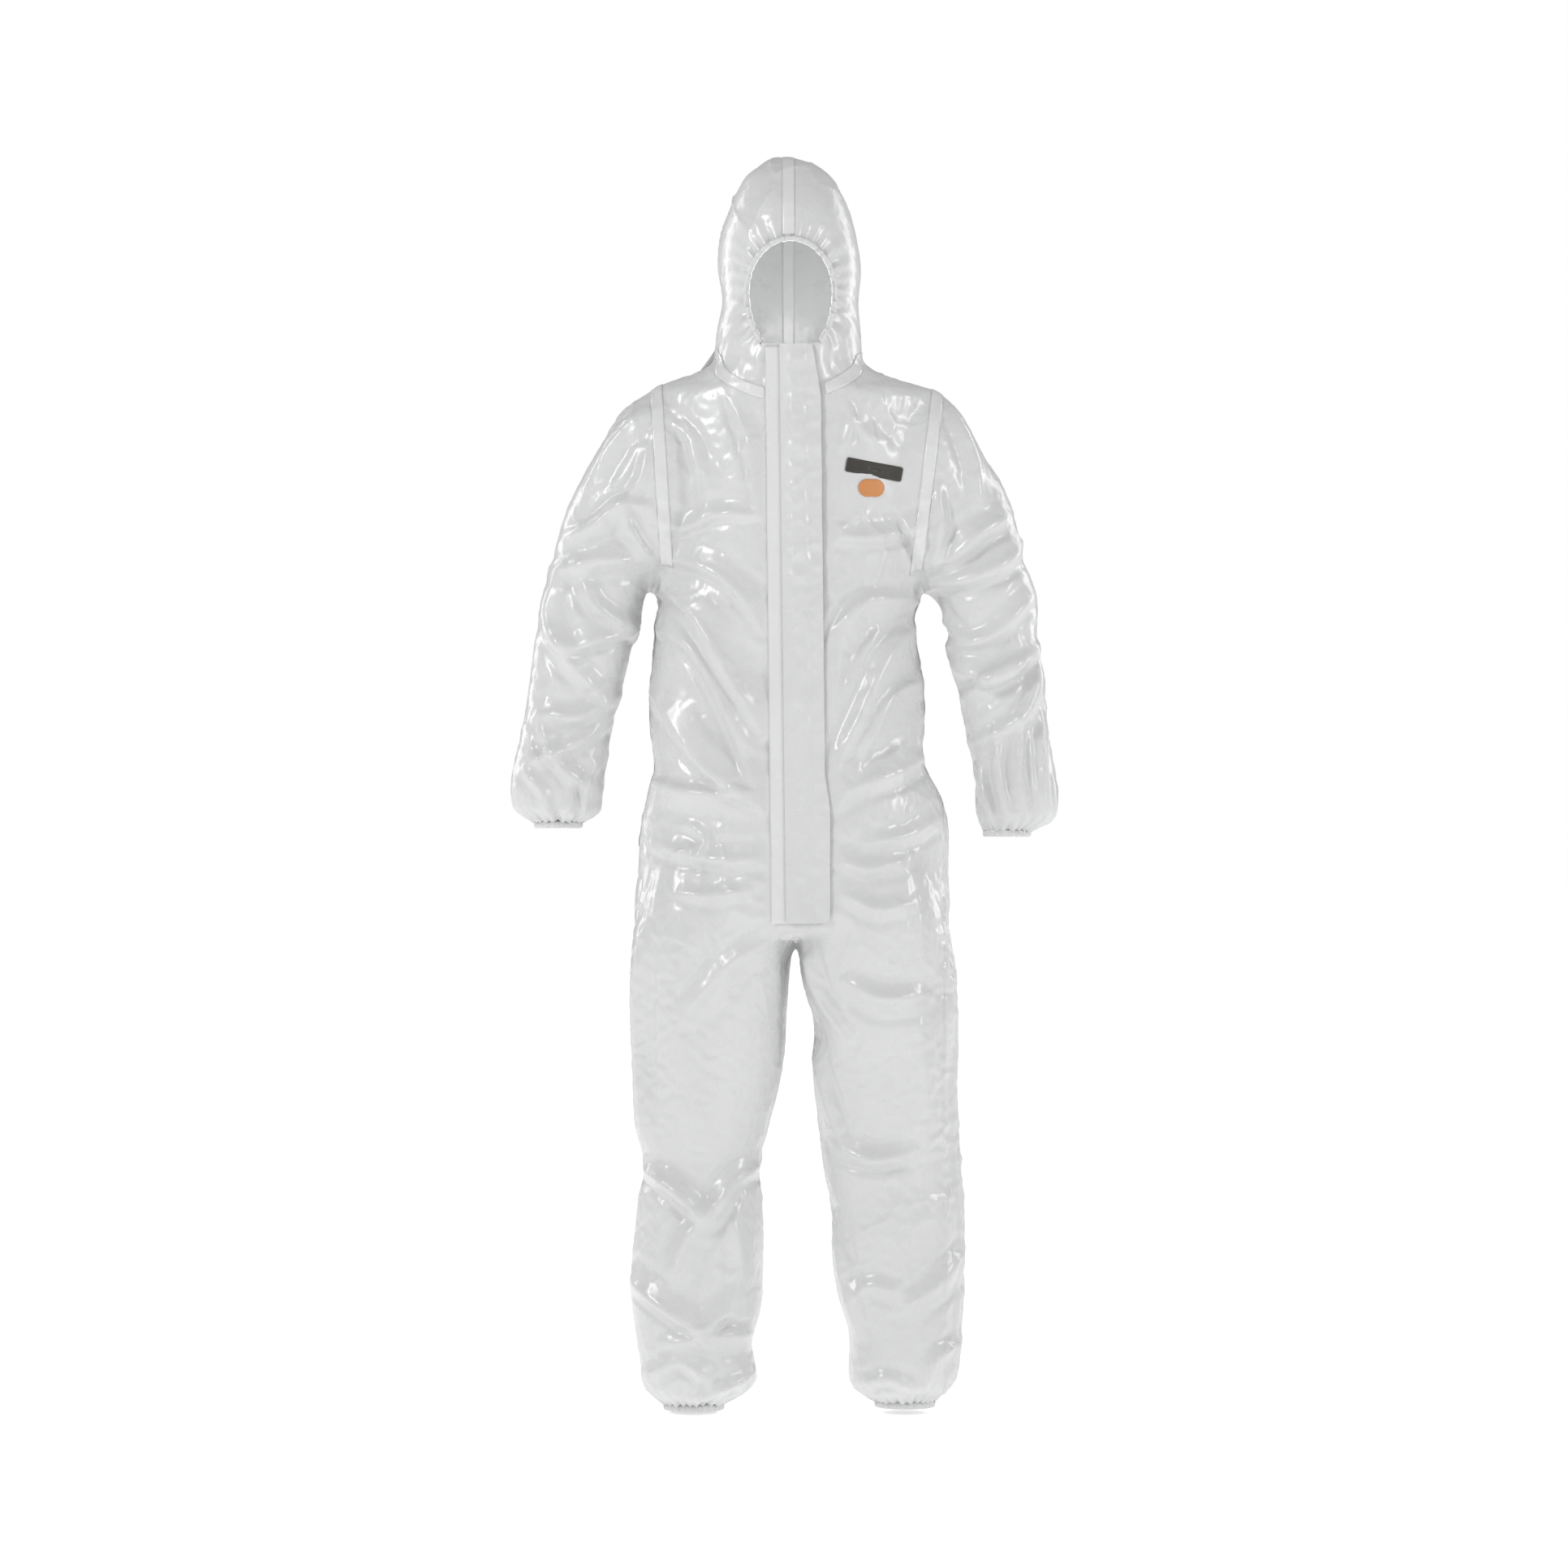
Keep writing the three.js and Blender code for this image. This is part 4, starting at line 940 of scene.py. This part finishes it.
def panel_of(points):
    """The index in PANELS of the panel that each point belongs to."""
    x = points[:, 0] / MM
    y = points[:, 1] / MM
    z = points[:, 2] / MM + SHOULDER_HEIGHT
    limb = limb_of(points)
    middle, seam, radius = NECK_ARC
    nape, rise = NAPE
    in_arc = (np.hypot(x - middle, z - seam) < radius) | (z > seam)
    neck = np.where(y < 0, in_arc, z > nape + rise * y)
    zip_side = in_zip_frame(points)[:, 0] > 0
    side = np.where(y < 0, zip_side, x > HOOD_SEAM_X)
    panel = np.where(y < SIDE_SEAM_Y, np.where(zip_side, 5, 4), 6)
    panel = np.where(neck, 2 + side, panel)
    panel = np.where(z > CHIN, (x > HOOD_SEAM_X).astype(int), panel)
    for mark in (1, 2):
        panel = np.where(limb == mark, np.where(z > KNEE, 6, 8) + mark, panel)
    for mark in (3, 4):
        panel = np.where(limb == mark, np.where(z > ELBOW, 8, 10) + mark, panel)
    return panel


def split(skin):
    mesh = skin.data
    points = coordinates(mesh)
    normals = vertex_normals(mesh)
    corners = np.empty(len(mesh.loops), np.int32)
    mesh.loops.foreach_get("vertex_index", corners)
    corners = corners.reshape(-1, 4)
    panel = panel_of(points[corners].mean(axis=1))
    made = {}
    for index, (name, node, _) in enumerate(PANELS):
        faces = corners[panel == index]
        used, inverse = np.unique(faces, return_inverse=True)
        piece = new_object(name, points[used], inverse.reshape(-1, 4).tolist())
        piece.data.polygons.foreach_set("use_smooth", [True] * len(faces))
        piece.data.normals_split_custom_set_from_vertices([tuple(n) for n in normals[used]])
        piece.data.materials.append(FABRIC)
        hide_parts(node)
        made[name] = piece
    return made


panels = split(garment)
TREE = BVHTree.FromPolygons(
    [tuple(v.co) for v in garment.data.vertices], [tuple(p.vertices) for p in garment.data.polygons]
)
SKIN_NORMALS = vertex_normals(garment.data)
bpy.data.objects.remove(garment)


# ---------------------------------------------------------------- finishes of the small parts
def woven(name, tone, rough, threads, depth=0.0004):
    """A knitted or woven band, with its threads as fine ribs both ways."""
    material, tree, shader = surface(name, tone, rough, Sheen_Weight=0.15)
    place = add_node(tree, "ShaderNodeTexCoord").outputs["Object"]
    tint = ramp(tree, noise(tree, place, 60, 3), [(0.3, tuple(c * 0.94 for c in tone)), (0.7, tone)])
    tree.links.new(tint, shader.inputs["Base Color"])
    normal = None
    for direction in ("X", "Z"):
        ribs = add_node(tree, "ShaderNodeTexWave", bands_direction=direction)
        ribs.inputs["Scale"].default_value = threads
        ribs.inputs["Distortion"].default_value = 0.6
        tree.links.new(place, ribs.inputs["Vector"])
        normal = bump(tree, ribs.outputs["Fac"], depth, 0.6, normal)
    tree.links.new(normal, shader.inputs["Normal"])
    return material


def moulded(name, tone, rough, grain=400, depth=0.0002, **sockets):
    material, tree, shader = surface(name, tone, rough, **sockets)
    place = add_node(tree, "ShaderNodeTexCoord").outputs["Object"]
    tint = ramp(tree, noise(tree, place, 45, 3), [(0.3, tuple(c * 0.92 for c in tone)), (0.7, tone)])
    tree.links.new(tint, shader.inputs["Base Color"])
    gloss = remap(tree, noise(tree, place, grain / 4, 4), 0.3, 0.7, rough - 0.08, rough + 0.08)
    tree.links.new(gloss, shader.inputs["Roughness"])
    tree.links.new(bump(tree, noise(tree, place, grain, 2), depth, 0.5), shader.inputs["Normal"])
    return material


FINISHES = {
    "fabric_white": FABRIC,
    "seam_tape": TAPE,
    "elastic": woven("knitted_elastic", (0.76, 0.76, 0.75), 0.85, 260),
    "zip_tape": woven("zip_weave", (0.8, 0.81, 0.82), 0.8, 420, 0.0003),
    "zip_teeth": moulded("nylon", (0.84, 0.84, 0.83), 0.35),
    "zip_metal": moulded("white_enamel", (0.78, 0.79, 0.8), 0.32, 300, 0.0001, Coat_Weight=0.3),
    "badge_dark": moulded("dark_print", (0.045, 0.042, 0.036), 0.42, 700),
    "badge_orange": moulded("orange_print", (0.66, 0.27, 0.09), 0.42, 700),
    "adhesive": moulded("tacky_film", (0.74, 0.72, 0.63), 0.5, 500),
    "release_liner": moulded("waxed_paper", (0.82, 0.82, 0.79), 0.45, 600),
    "label": woven("ribbon", (0.82, 0.82, 0.81), 0.7, 380, 0.0002),
}
KEPT = {
    "zip_tape_right": "zip_tape", "zip_tape_left": "zip_tape", "zip_bottom_stop": "zip_teeth",
    "zip_top_stop": "zip_teeth", "zip_guard": "fabric_white", "flap_adhesive_tape": "adhesive",
    "flap_release_liner": "release_liner", "zip_slider": "zip_metal", "zip_puller": "zip_metal",
    "waist_elastic": "elastic", "waist_tunnel": "fabric_white", "size_label": "label", "face_elastic": "elastic",
    "right_cuff_elastic": "elastic", "left_cuff_elastic": "elastic",
    "right_ankle_elastic": "elastic", "left_ankle_elastic": "elastic",
}
for node, finish in KEPT.items():
    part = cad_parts[node]
    for slot in part.material_slots:
        slot.material = FINISHES[finish]


def finish_piece(obj, finish, body, *nodes, smooth=True):
    obj.data.polygons.foreach_set("use_smooth", [smooth] * len(obj.data.polygons))
    obj.data.materials.clear()
    obj.data.materials.append(FINISHES[finish])
    if nodes:
        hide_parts(*nodes)
    if body:
        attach(obj, body)
    return obj


def thicken(obj, thickness, offset=1.0):
    modifier = obj.modifiers.new("thickness", "SOLIDIFY")
    modifier.thickness = thickness * MM
    modifier.offset = offset
    apply_modifiers(obj)


def grid(name, rows, closed=False):
    """A mesh through rows of points; closed joins the last column to the first."""
    count = len(rows[0])
    faces = []
    for r in range(len(rows) - 1):
        for c in range(count if closed else count - 1):
            a, b = r * count + c, r * count + (c + 1) % count
            faces.append((a, b, b + count, a + count))
    return new_object(name, [p for row in rows for p in row], faces)


def cast(origin, direction):
    """Where a ray from inside or outside meets the garment, and the outward normal there."""
    hit, normal, _, _ = TREE.ray_cast(Vector(origin), Vector(direction).normalized())
    return hit, normal


# ---------------------------------------------------------------- heat-sealed tapes
TAPE_WIDTH = 18
TAPE_LIFT = 0.55
TAPE_THICK = 0.35
TAPE_COLUMNS = 7
ARMPIT = 1167


def tape(name, node, body, rays, middle, lift=TAPE_LIFT):
    """A strip of film laid on the skin. rays gives rows of (origin, direction); middle is a point inside the suit."""
    rows = []
    for row in rays:
        line = []
        for origin, direction in row:
            hit, normal = cast(origin, direction)
            if hit is None:
                line = []
                break
            if normal.dot(Vector(direction)) < 0:
                normal = -normal
            line.append(hit + normal * (lift * MM))
        if line:
            rows.append(line)
    obj = grid(name, rows)
    bm = bmesh.new()
    bm.from_mesh(obj.data)
    bm.faces.ensure_lookup_table()
    face = bm.faces[len(bm.faces) // 2]
    if face.normal.dot(face.calc_center_median() - Vector(middle)) < 0:
        bmesh.ops.reverse_faces(bm, faces=bm.faces)
    bm.to_mesh(obj.data)
    bm.free()
    relax(obj.data, np.ones(len(obj.data.vertices)), 2, 0.3)
    thicken(obj, TAPE_THICK)
    return finish_piece(obj, "seam_tape", body, *([node] if node else []))


ACROSS = np.linspace(-TAPE_WIDTH / 2, TAPE_WIDTH / 2, TAPE_COLUMNS)


def hood_rows():
    rows = []
    for angle in np.radians(np.arange(160, -55, -1.1)):
        direction = (0, math.cos(angle), math.sin(angle))
        rows.append([(((HOOD_SEAM_X + a) * MM, 0.012, up(1612)), direction) for a in ACROSS])
    kept = []
    for row in rows:
        hit, _ = cast(*row[TAPE_COLUMNS // 2])
        if hit is None or hit.z < up(CHIN + 1):
            continue
        away, _ = face_distance(np.array([hit]), 5)
        if hit.y < 0 and away[0] < 1:
            continue
        kept.append(row)
    return kept


def neck_height(x, y):
    middle, seam, radius = NECK_ARC
    if y < 0:
        return seam - math.sqrt(max(radius**2 - (x - middle) ** 2, 0))
    return NAPE[0] + NAPE[1] * y


def neck_rows():
    """Round the neck seam, stopping at each side of the storm flap."""
    rows = []
    for angle in np.radians(np.arange(-72, 254, 1.5)):
        direction = (math.cos(angle), math.sin(angle), 0)
        x, y, height = 100 * direction[0], 100 * direction[1], 0
        for _ in range(4):
            height = neck_height(x, y)
            hit, _ = cast((-0.005, 0, up(height)), direction)
            if hit is None:
                break
            x, y = hit.x / MM, hit.y / MM
        if y < -60 and -32 < x - 4 < 42:
            continue
        rows.append([((-0.005, 0, up(min(height + a, CHIN - 2))), direction) for a in ACROSS])
    return rows


def armhole_rows(side):
    """Round an armhole, on the body's side of the seam."""
    (top_x, top_z), (low_x, low_z) = ARMHOLE[side]
    axis = Vector((top_x - low_x, 0, top_z - low_z)).normalized()
    out = Vector((axis.z, 0, -axis.x)) * side
    middle = Vector(((top_x + low_x) / 2 * MM, 0.004, up((top_z + low_z) / 2 + 12)))
    rows = []
    for angle in np.radians(np.arange(181, 540, 2.0)):
        direction = axis * math.cos(angle) + Vector((0, math.sin(angle), 0))
        row = [(middle + out * ((a - TAPE_WIDTH / 2 - 1) * MM), direction) for a in ACROSS]
        hits = [cast(*ray)[0] for ray in row]
        if all(hit is not None and hit.z > up(ARMPIT + 6) for hit in hits):
            rows.append(row)
    return rows


def side_rows(side):
    rows = []
    for height in np.arange(1140, 796, -3.0):
        rows.append([((side * 0.06, (SIDE_SEAM_Y + a) * MM, up(height)), (side, 0, 0)) for a in ACROSS])
    return rows


BODY_MIDDLE = (0, 0, up(1250))
crown_tape = tape("hood_seam_film", "hood_centre_tape", None, hood_rows(), (0, 0.01, up(1612)))
inside_rows = [row for row in hood_rows() if row[0][1][1] > 0.2]
inner_tape = tape("hood_inner_film", None, None, inside_rows, (0, 0.01, up(1612)), -1.3)
tape("neck_seam_film", "neck_seam_tape", "torso", neck_rows(), (0, 0, up(1480)))
for word, side in SIDES:
    tape(f"{word}_armhole_film", f"{word}_armhole_tape", "torso", armhole_rows(side), (side * 0.19, 0, up(1310)))
    tape(f"{word}_side_film", f"{word}_side_seam_tape", "torso", side_rows(side), (0, 0, up(1000)))


# ---------------------------------------------------------------- the storm flap
FLAP_LINE = [(-24, 2.2), (-8, 6.4), (8, 6.4), (16, 2.6), (45, 2.4)]  # across, and out from the chest
FLAP_EDGE = [(-8, 29), (-7, 33), (-4, 36.5), (1, 38), (150, 40), (200, 33.5), (730, 33.5), (803, 22.5)]
FLAP_FOOT, FLAP_TOP = -8, 802.5
FLAP_THICK = 1.1


def flap_crumple(across, along):
    """How far the flap stands away from its smooth shape: waves that run aslant, strongest at the breast."""
    from_hinge = smoothstep(across, -22, -2)
    breast = 0.35 + 0.65 * smoothstep(along, 330, 480) * (1 - 0.5 * smoothstep(along, 700, 790))
    wave = 0.0
    for number, (size, weight) in enumerate(((34, 1.5), (19, 0.8), (9, 0.3))):
        where = Vector((across / size + along / size * 0.35, along / size - across / size * 0.5, 7.3 * number))
        wave += weight * (1 - 2 * abs(perlin.noise(where))) * 1.6
    return max(0.0, wave + 0.4) * from_hinge * breast


def make_flap():
    heights = np.concatenate([[FLAP_FOOT, -7, -5.5, -3.5, -1, 2], np.arange(6, FLAP_TOP, 4.0), [FLAP_TOP]])
    edge_at, edge = zip(*FLAP_EDGE)
    line_at, line = zip(*FLAP_LINE)
    rows = []
    for along in heights:
        reach = np.interp(along, edge_at, edge) + 0.7 * perlin.noise(Vector((0, along / 60, 3)))
        row = []
        for t in np.linspace(0, 1, 19):
            across = -24 + (reach + 24) * t
            out = np.interp(across, line_at, line) + flap_crumple(across, along)
            row.append(zip_point(across, out, along))
        rows.append(row)
    flap = grid("storm_flap_cloth", rows)
    if flap.data.polygons[40].normal.dot(Vector(ZIP_OUT)) < 0:
        flap.data.flip_normals()
    thicken(flap, FLAP_THICK)
    subdivide(flap)
    return finish_piece(flap, "fabric_white", "storm_flap", "outer_storm_flap")


storm_flap = make_flap()


def make_flap_tape():
    rows = []
    for along in np.arange(FLAP_FOOT, FLAP_TOP, 4.0):
        wobble = 0.5 * perlin.noise(Vector((1.7, along / 45, 0)))
        row = []
        for t in np.linspace(0, 1, 8):
            across = -44 + wobble + (26 - wobble) * t
            ripple = 0.2 * abs(perlin.noise(Vector((across / 9, along / 14, 5))))
            row.append(zip_point(across, 0.55 + ripple, along))
        rows.append(row)
    strip = grid("flap_seam_film", rows)
    if strip.data.polygons[0].normal.dot(Vector(ZIP_OUT)) < 0:
        strip.data.flip_normals()
    thicken(strip, 0.5)
    return finish_piece(strip, "seam_tape", "torso", "flap_seam_tape")


make_flap_tape()


# ---------------------------------------------------------------- the zip's coil
def make_teeth(side):
    """One side of the closed coil: a row of rounded loops on each tape."""
    word = "right" if side == RIGHT else "left"
    pitch, low, high = 2.0, 15.0, 794.0
    count = int((high - low) / pitch)
    vertices, faces = [], []
    ring = 8
    for i in range(count):
        along = low + pitch * i + (0.5 * pitch if side == LEFT else 0)
        for end, reach in enumerate((2.6, 1.5, -0.5)):
            size = (0.62, 0.72, 0.5)[end]
            for k in range(ring):
                angle = k / ring * 2 * math.pi
                out = 0.2 + 1.0 * size * math.cos(angle)
                vertices.append(zip_point(side * max(reach, 0.1), out, along + 0.75 * size * math.sin(angle)))
        base = i * 3 * ring
        for e in range(2):
            for k in range(ring):
                a, b = base + e * ring + k, base + e * ring + (k + 1) % ring
                faces.append((a, b, b + ring, a + ring))
        faces.append(tuple(range(base + ring - 1, base - 1, -1)))
        faces.append(tuple(range(base + 2 * ring, base + 3 * ring)))
    obj = new_object(f"zip_coil_{word}", vertices, faces)
    bm = bmesh.new()
    bm.from_mesh(obj.data)
    bmesh.ops.recalc_face_normals(bm, faces=bm.faces)
    bm.to_mesh(obj.data)
    bm.free()
    return finish_piece(obj, "zip_teeth", "torso", f"zip_teeth_{word}")


for _, side in SIDES:
    make_teeth(side)


# ---------------------------------------------------------------- the face binding and the hems
def make_binding():
    """An elastic binding, puckered all round."""
    chin = math.asin((FACE["height"] - CHIN - 4) / FACE["below"])
    steps, sides = 460, 10
    rows = []
    for i in range(steps + 1):
        angle = -chin + i / steps * (math.pi + 2 * chin)
        x, z = face_point(angle, 2.0)
        near, _, _, _ = TREE.find_nearest(Vector((x, -0.105, z)))
        pucker = 0.55 * math.sin(angle * 33 + 1.5 * math.sin(angle * 5)) + 0.3 * math.sin(angle * 71 + 2)
        radius = (4.1 + 0.7 * pucker) * MM
        centre = Vector((x, near.y + 0.0004 * pucker, z))
        out_x, out_z = face_point(angle, 3.0)
        outward = Vector((out_x - x, 0, out_z - z)).normalized()
        row = []
        for k in range(sides):
            turn = k / sides * 2 * math.pi
            row.append(centre + outward * (radius * math.cos(turn)) + Vector((0, radius * 0.85 * math.sin(turn), 0)))
        rows.append(row)
    obj = grid("face_rim", rows, closed=True)
    bm = bmesh.new()
    bm.from_mesh(obj.data)
    bmesh.ops.holes_fill(bm, edges=[e for e in bm.edges if e.is_boundary], sides=sides)
    bmesh.ops.recalc_face_normals(bm, faces=bm.faces)
    bm.to_mesh(obj.data)
    bm.free()
    return finish_piece(obj, "fabric_white", "hood", "face_binding")


make_binding()
GATHERS = {"right_cuff": 21, "left_cuff": 21, "right_ankle": 25, "left_ankle": 25}


def make_hem(place):
    """A folded, gathered channel with the elastic shut inside."""
    x, y, foot, radius = HEMS[place]
    count, depth = 220, 6.0
    profile = [(0, 10.2), (0.3, 7), (0.5, 4), (0.3, 1.6), (-1.0, 0.3), (-2.8, 0), (-4.9, 0.3), (-5.9, 2), (-6.1, 5),
               (-5.9, 8.6), (-4.8, 9.6), (-2.6, 9.9)]
    rows = []
    for i in range(count):
        angle = i / count * 2 * math.pi
        gather = math.sin(angle * GATHERS[place] + 1.3 * math.sin(angle * 4 + x))
        fine = math.sin(angle * GATHERS[place] * 2.3 + 1)
        row = []
        for out, rise in profile:
            r = radius + out + (0.9 * gather + 0.4 * fine) * (1.0 if out > -3 else 0.6)
            lift = rise + 0.35 * fine * (rise < 2) + 0.35
            row.append(((x + r * math.cos(angle)) * MM, (y + r * math.sin(angle)) * MM, up(foot + lift)))
        rows.append(row)
    rows.append(rows[0])
    obj = grid(f"{place}_gather", rows, closed=True)
    bm = bmesh.new()
    bm.from_mesh(obj.data)
    bmesh.ops.remove_doubles(bm, verts=bm.verts, dist=1e-6)
    bmesh.ops.recalc_face_normals(bm, faces=bm.faces)
    bm.to_mesh(obj.data)
    bm.free()
    side, kind = place.split("_")
    body = f"{side}_forearm" if kind == "cuff" else f"{side}_lower_leg"
    return finish_piece(obj, "fabric_white", body, f"{place}_hem")


for place in HEMS:
    make_hem(place)


# ---------------------------------------------------------------- the badge
def patch(name, node, finish, outline, lift):
    """A thin printed patch that follows the chest, from its outline in the front view."""
    centre = np.mean(outline, axis=0)
    rings = []
    for t in (0.02, 0.25, 0.5, 0.75, 0.93, 1.0):
        ring = []
        for x, height in outline:
            px, pz = centre[0] + (x - centre[0]) * t, centre[1] + (height - centre[1]) * t
            hit, normal = cast((px * MM, -0.4, up(pz)), (0, 1, 0))
            normal = normal if normal.y < 0 else -normal
            ring.append(hit + normal * ((lift + (0.3 if t < 0.99 else 0)) * MM))
        rings.append(ring)
    obj = grid(name, rings, closed=True)
    bm = bmesh.new()
    bm.from_mesh(obj.data)
    bmesh.ops.holes_fill(bm, edges=[e for e in bm.edges if e.is_boundary and e.calc_length() < 0.001], sides=64)
    bm.faces.ensure_lookup_table()
    if bm.faces[0].normal.y > 0:
        bmesh.ops.reverse_faces(bm, faces=bm.faces)
    bm.to_mesh(obj.data)
    bm.free()
    thicken(obj, 0.6)
    return finish_piece(obj, finish, "torso", node)


def rounded_bar(x, height, width, tall, corner, tilt):
    outline = []
    for i in range(64):
        angle = (i + 0.5) / 64 * 2 * math.pi
        px = math.copysign(width / 2 - corner, math.cos(angle)) + corner * math.cos(angle)
        pz = math.copysign(tall / 2 - corner, math.sin(angle)) + corner * math.sin(angle)
        outline.append((x + px * math.cos(tilt) - pz * math.sin(tilt), height + px * math.sin(tilt) + pz * math.cos(tilt)))
    return outline


patch("chest_bar", "badge_bar", "badge_dark", rounded_bar(115.6, 1327, 80, 20, 3, -0.17), 0.8)
patch("chest_spot", "badge_spot", "badge_orange", rounded_bar(111.6, 1301, 36, 24, 11.9, 0), 0.8)


def blended(piece, start, direction):
    start = Vector(start)
    direction = Vector(direction).normalized()
    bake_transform(piece)


for strip in (crown_tape, inner_tape):
    blended(strip, (0, 0, up(CHIN)), (0, 0, 1))
for name, node, body in PANELS:
    piece = panels[name]
    side = RIGHT if name.startswith("right") else LEFT
    word = "right" if side == RIGHT else "left"
    if body == "torso":
        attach(piece, "torso")
    elif body == "hood":
        blended(piece, (0, 0, up(CHIN)), (0, 0, 1))
    elif "thigh" in name:
        blended(piece, (CROTCH_X * MM, 0, up(CROTCH)), (side * LEG_LINE_RISE, 0, -1))
    elif "shin" in name:
        blended(piece, (0, 0, up(KNEE)), (0, 0, -1))
    elif "upper" in name:
        _, (armpit_x, armpit_z) = ARMHOLE[side]
        blended(piece, (armpit_x * MM, 0, up(armpit_z)), (side * 0.94, 0, -0.342))
    else:
        blended(piece, (0, 0, up(ELBOW)), (0, 0, -1))

# ---------------------------------------------------------------- the studio
FLOOR = up(0) - 0.004
FLOOR_GLOW = 0.42
FLOOR_SEEN = 0.68
ROOM_LIGHT = 0.42
BACKDROP = 1.0


def seen_by_camera(tree, otherwise, seen):
    ray = add_node(tree, "ShaderNodeLightPath").outputs["Is Camera Ray"]
    return remap(tree, ray, 0, 1, otherwise, seen)


def studio():
    """A plain pale floor, wide enough to reach the horizon of every view."""
    half = 40.0
    steps = 8
    edge = [-half + 2 * half * i / steps for i in range(steps + 1)]
    vertices = [(x, y, FLOOR) for y in edge for x in edge]
    row = steps + 1
    faces = [(r * row + c, r * row + c + 1, (r + 1) * row + c + 1, (r + 1) * row + c)
             for r in range(steps) for c in range(steps)]
    floor = new_object("floor", vertices, faces)
    material, tree, shader = surface("floor_paint", (0.93, 0.93, 0.93), 0.8)
    place = add_node(tree, "ShaderNodeTexCoord").outputs["Object"]
    tone = ramp(tree, noise(tree, place, 0.6, 2), [(0.3, (0.925, 0.925, 0.927)), (0.7, (0.935, 0.935, 0.935))])
    tree.links.new(tone, shader.inputs["Base Color"])
    shader.inputs["Emission Color"].default_value = (1, 1, 1, 1)
    tree.links.new(seen_by_camera(tree, FLOOR_GLOW, FLOOR_SEEN), shader.inputs["Emission Strength"])
    floor.data.materials.append(material)


def area_light(name, place, target, size, power):
    data = bpy.data.lights.new(name, "AREA")
    data.shape = "RECTANGLE"
    data.size, data.size_y = size
    data.energy = power
    light = bpy.data.objects.new(name, data)
    bpy.context.scene.collection.objects.link(light)
    light.location = place
    light.rotation_euler = (Vector(target) - Vector(place)).to_track_quat("-Z", "Y").to_euler()


studio()
MIDDLE = (0, 0, -0.55)
area_light("key", (-2.9, -2.7, 1.7), MIDDLE, (0.55, 1.5), 58)
area_light("fill", (3.3, -1.9, 0.7), MIDDLE, (0.5, 1.6), 32)
area_light("rim_left", (-2.4, 1.8, 0.6), MIDDLE, (0.8, 2.4), 18)
area_light("rim_right", (2.4, 1.8, 0.6), MIDDLE, (0.8, 2.4), 18)
glow = bpy.data.lights.new("hood_glow", "POINT")
glow.energy = 0.24
glow.shadow_soft_size = 0.04
glow_at = bpy.data.objects.new("hood_glow", glow)
bpy.context.scene.collection.objects.link(glow_at)
glow_at.location = (0, -0.02, up(1590))
world = bpy.data.worlds.new("studio")
world.use_nodes = True
room = world.node_tree
background = room.nodes["Background"]
background.inputs["Color"].default_value = (1, 1, 1, 1)
room.links.new(seen_by_camera(room, ROOM_LIGHT, BACKDROP), background.inputs["Strength"])
bpy.context.scene.world = world
bpy.context.scene.view_settings.view_transform = "Standard"

camera_data = bpy.data.cameras.new("camera")
camera_data.lens = 129.6
camera_data.sensor_width = 36
camera_data.clip_end = 100
camera = bpy.data.objects.new("camera", camera_data)
bpy.context.scene.collection.objects.link(camera)
camera.location = (-0.01035, -8, -0.5563)
camera.rotation_euler = (math.pi / 2, 0, 0)
bpy.context.scene.camera = camera
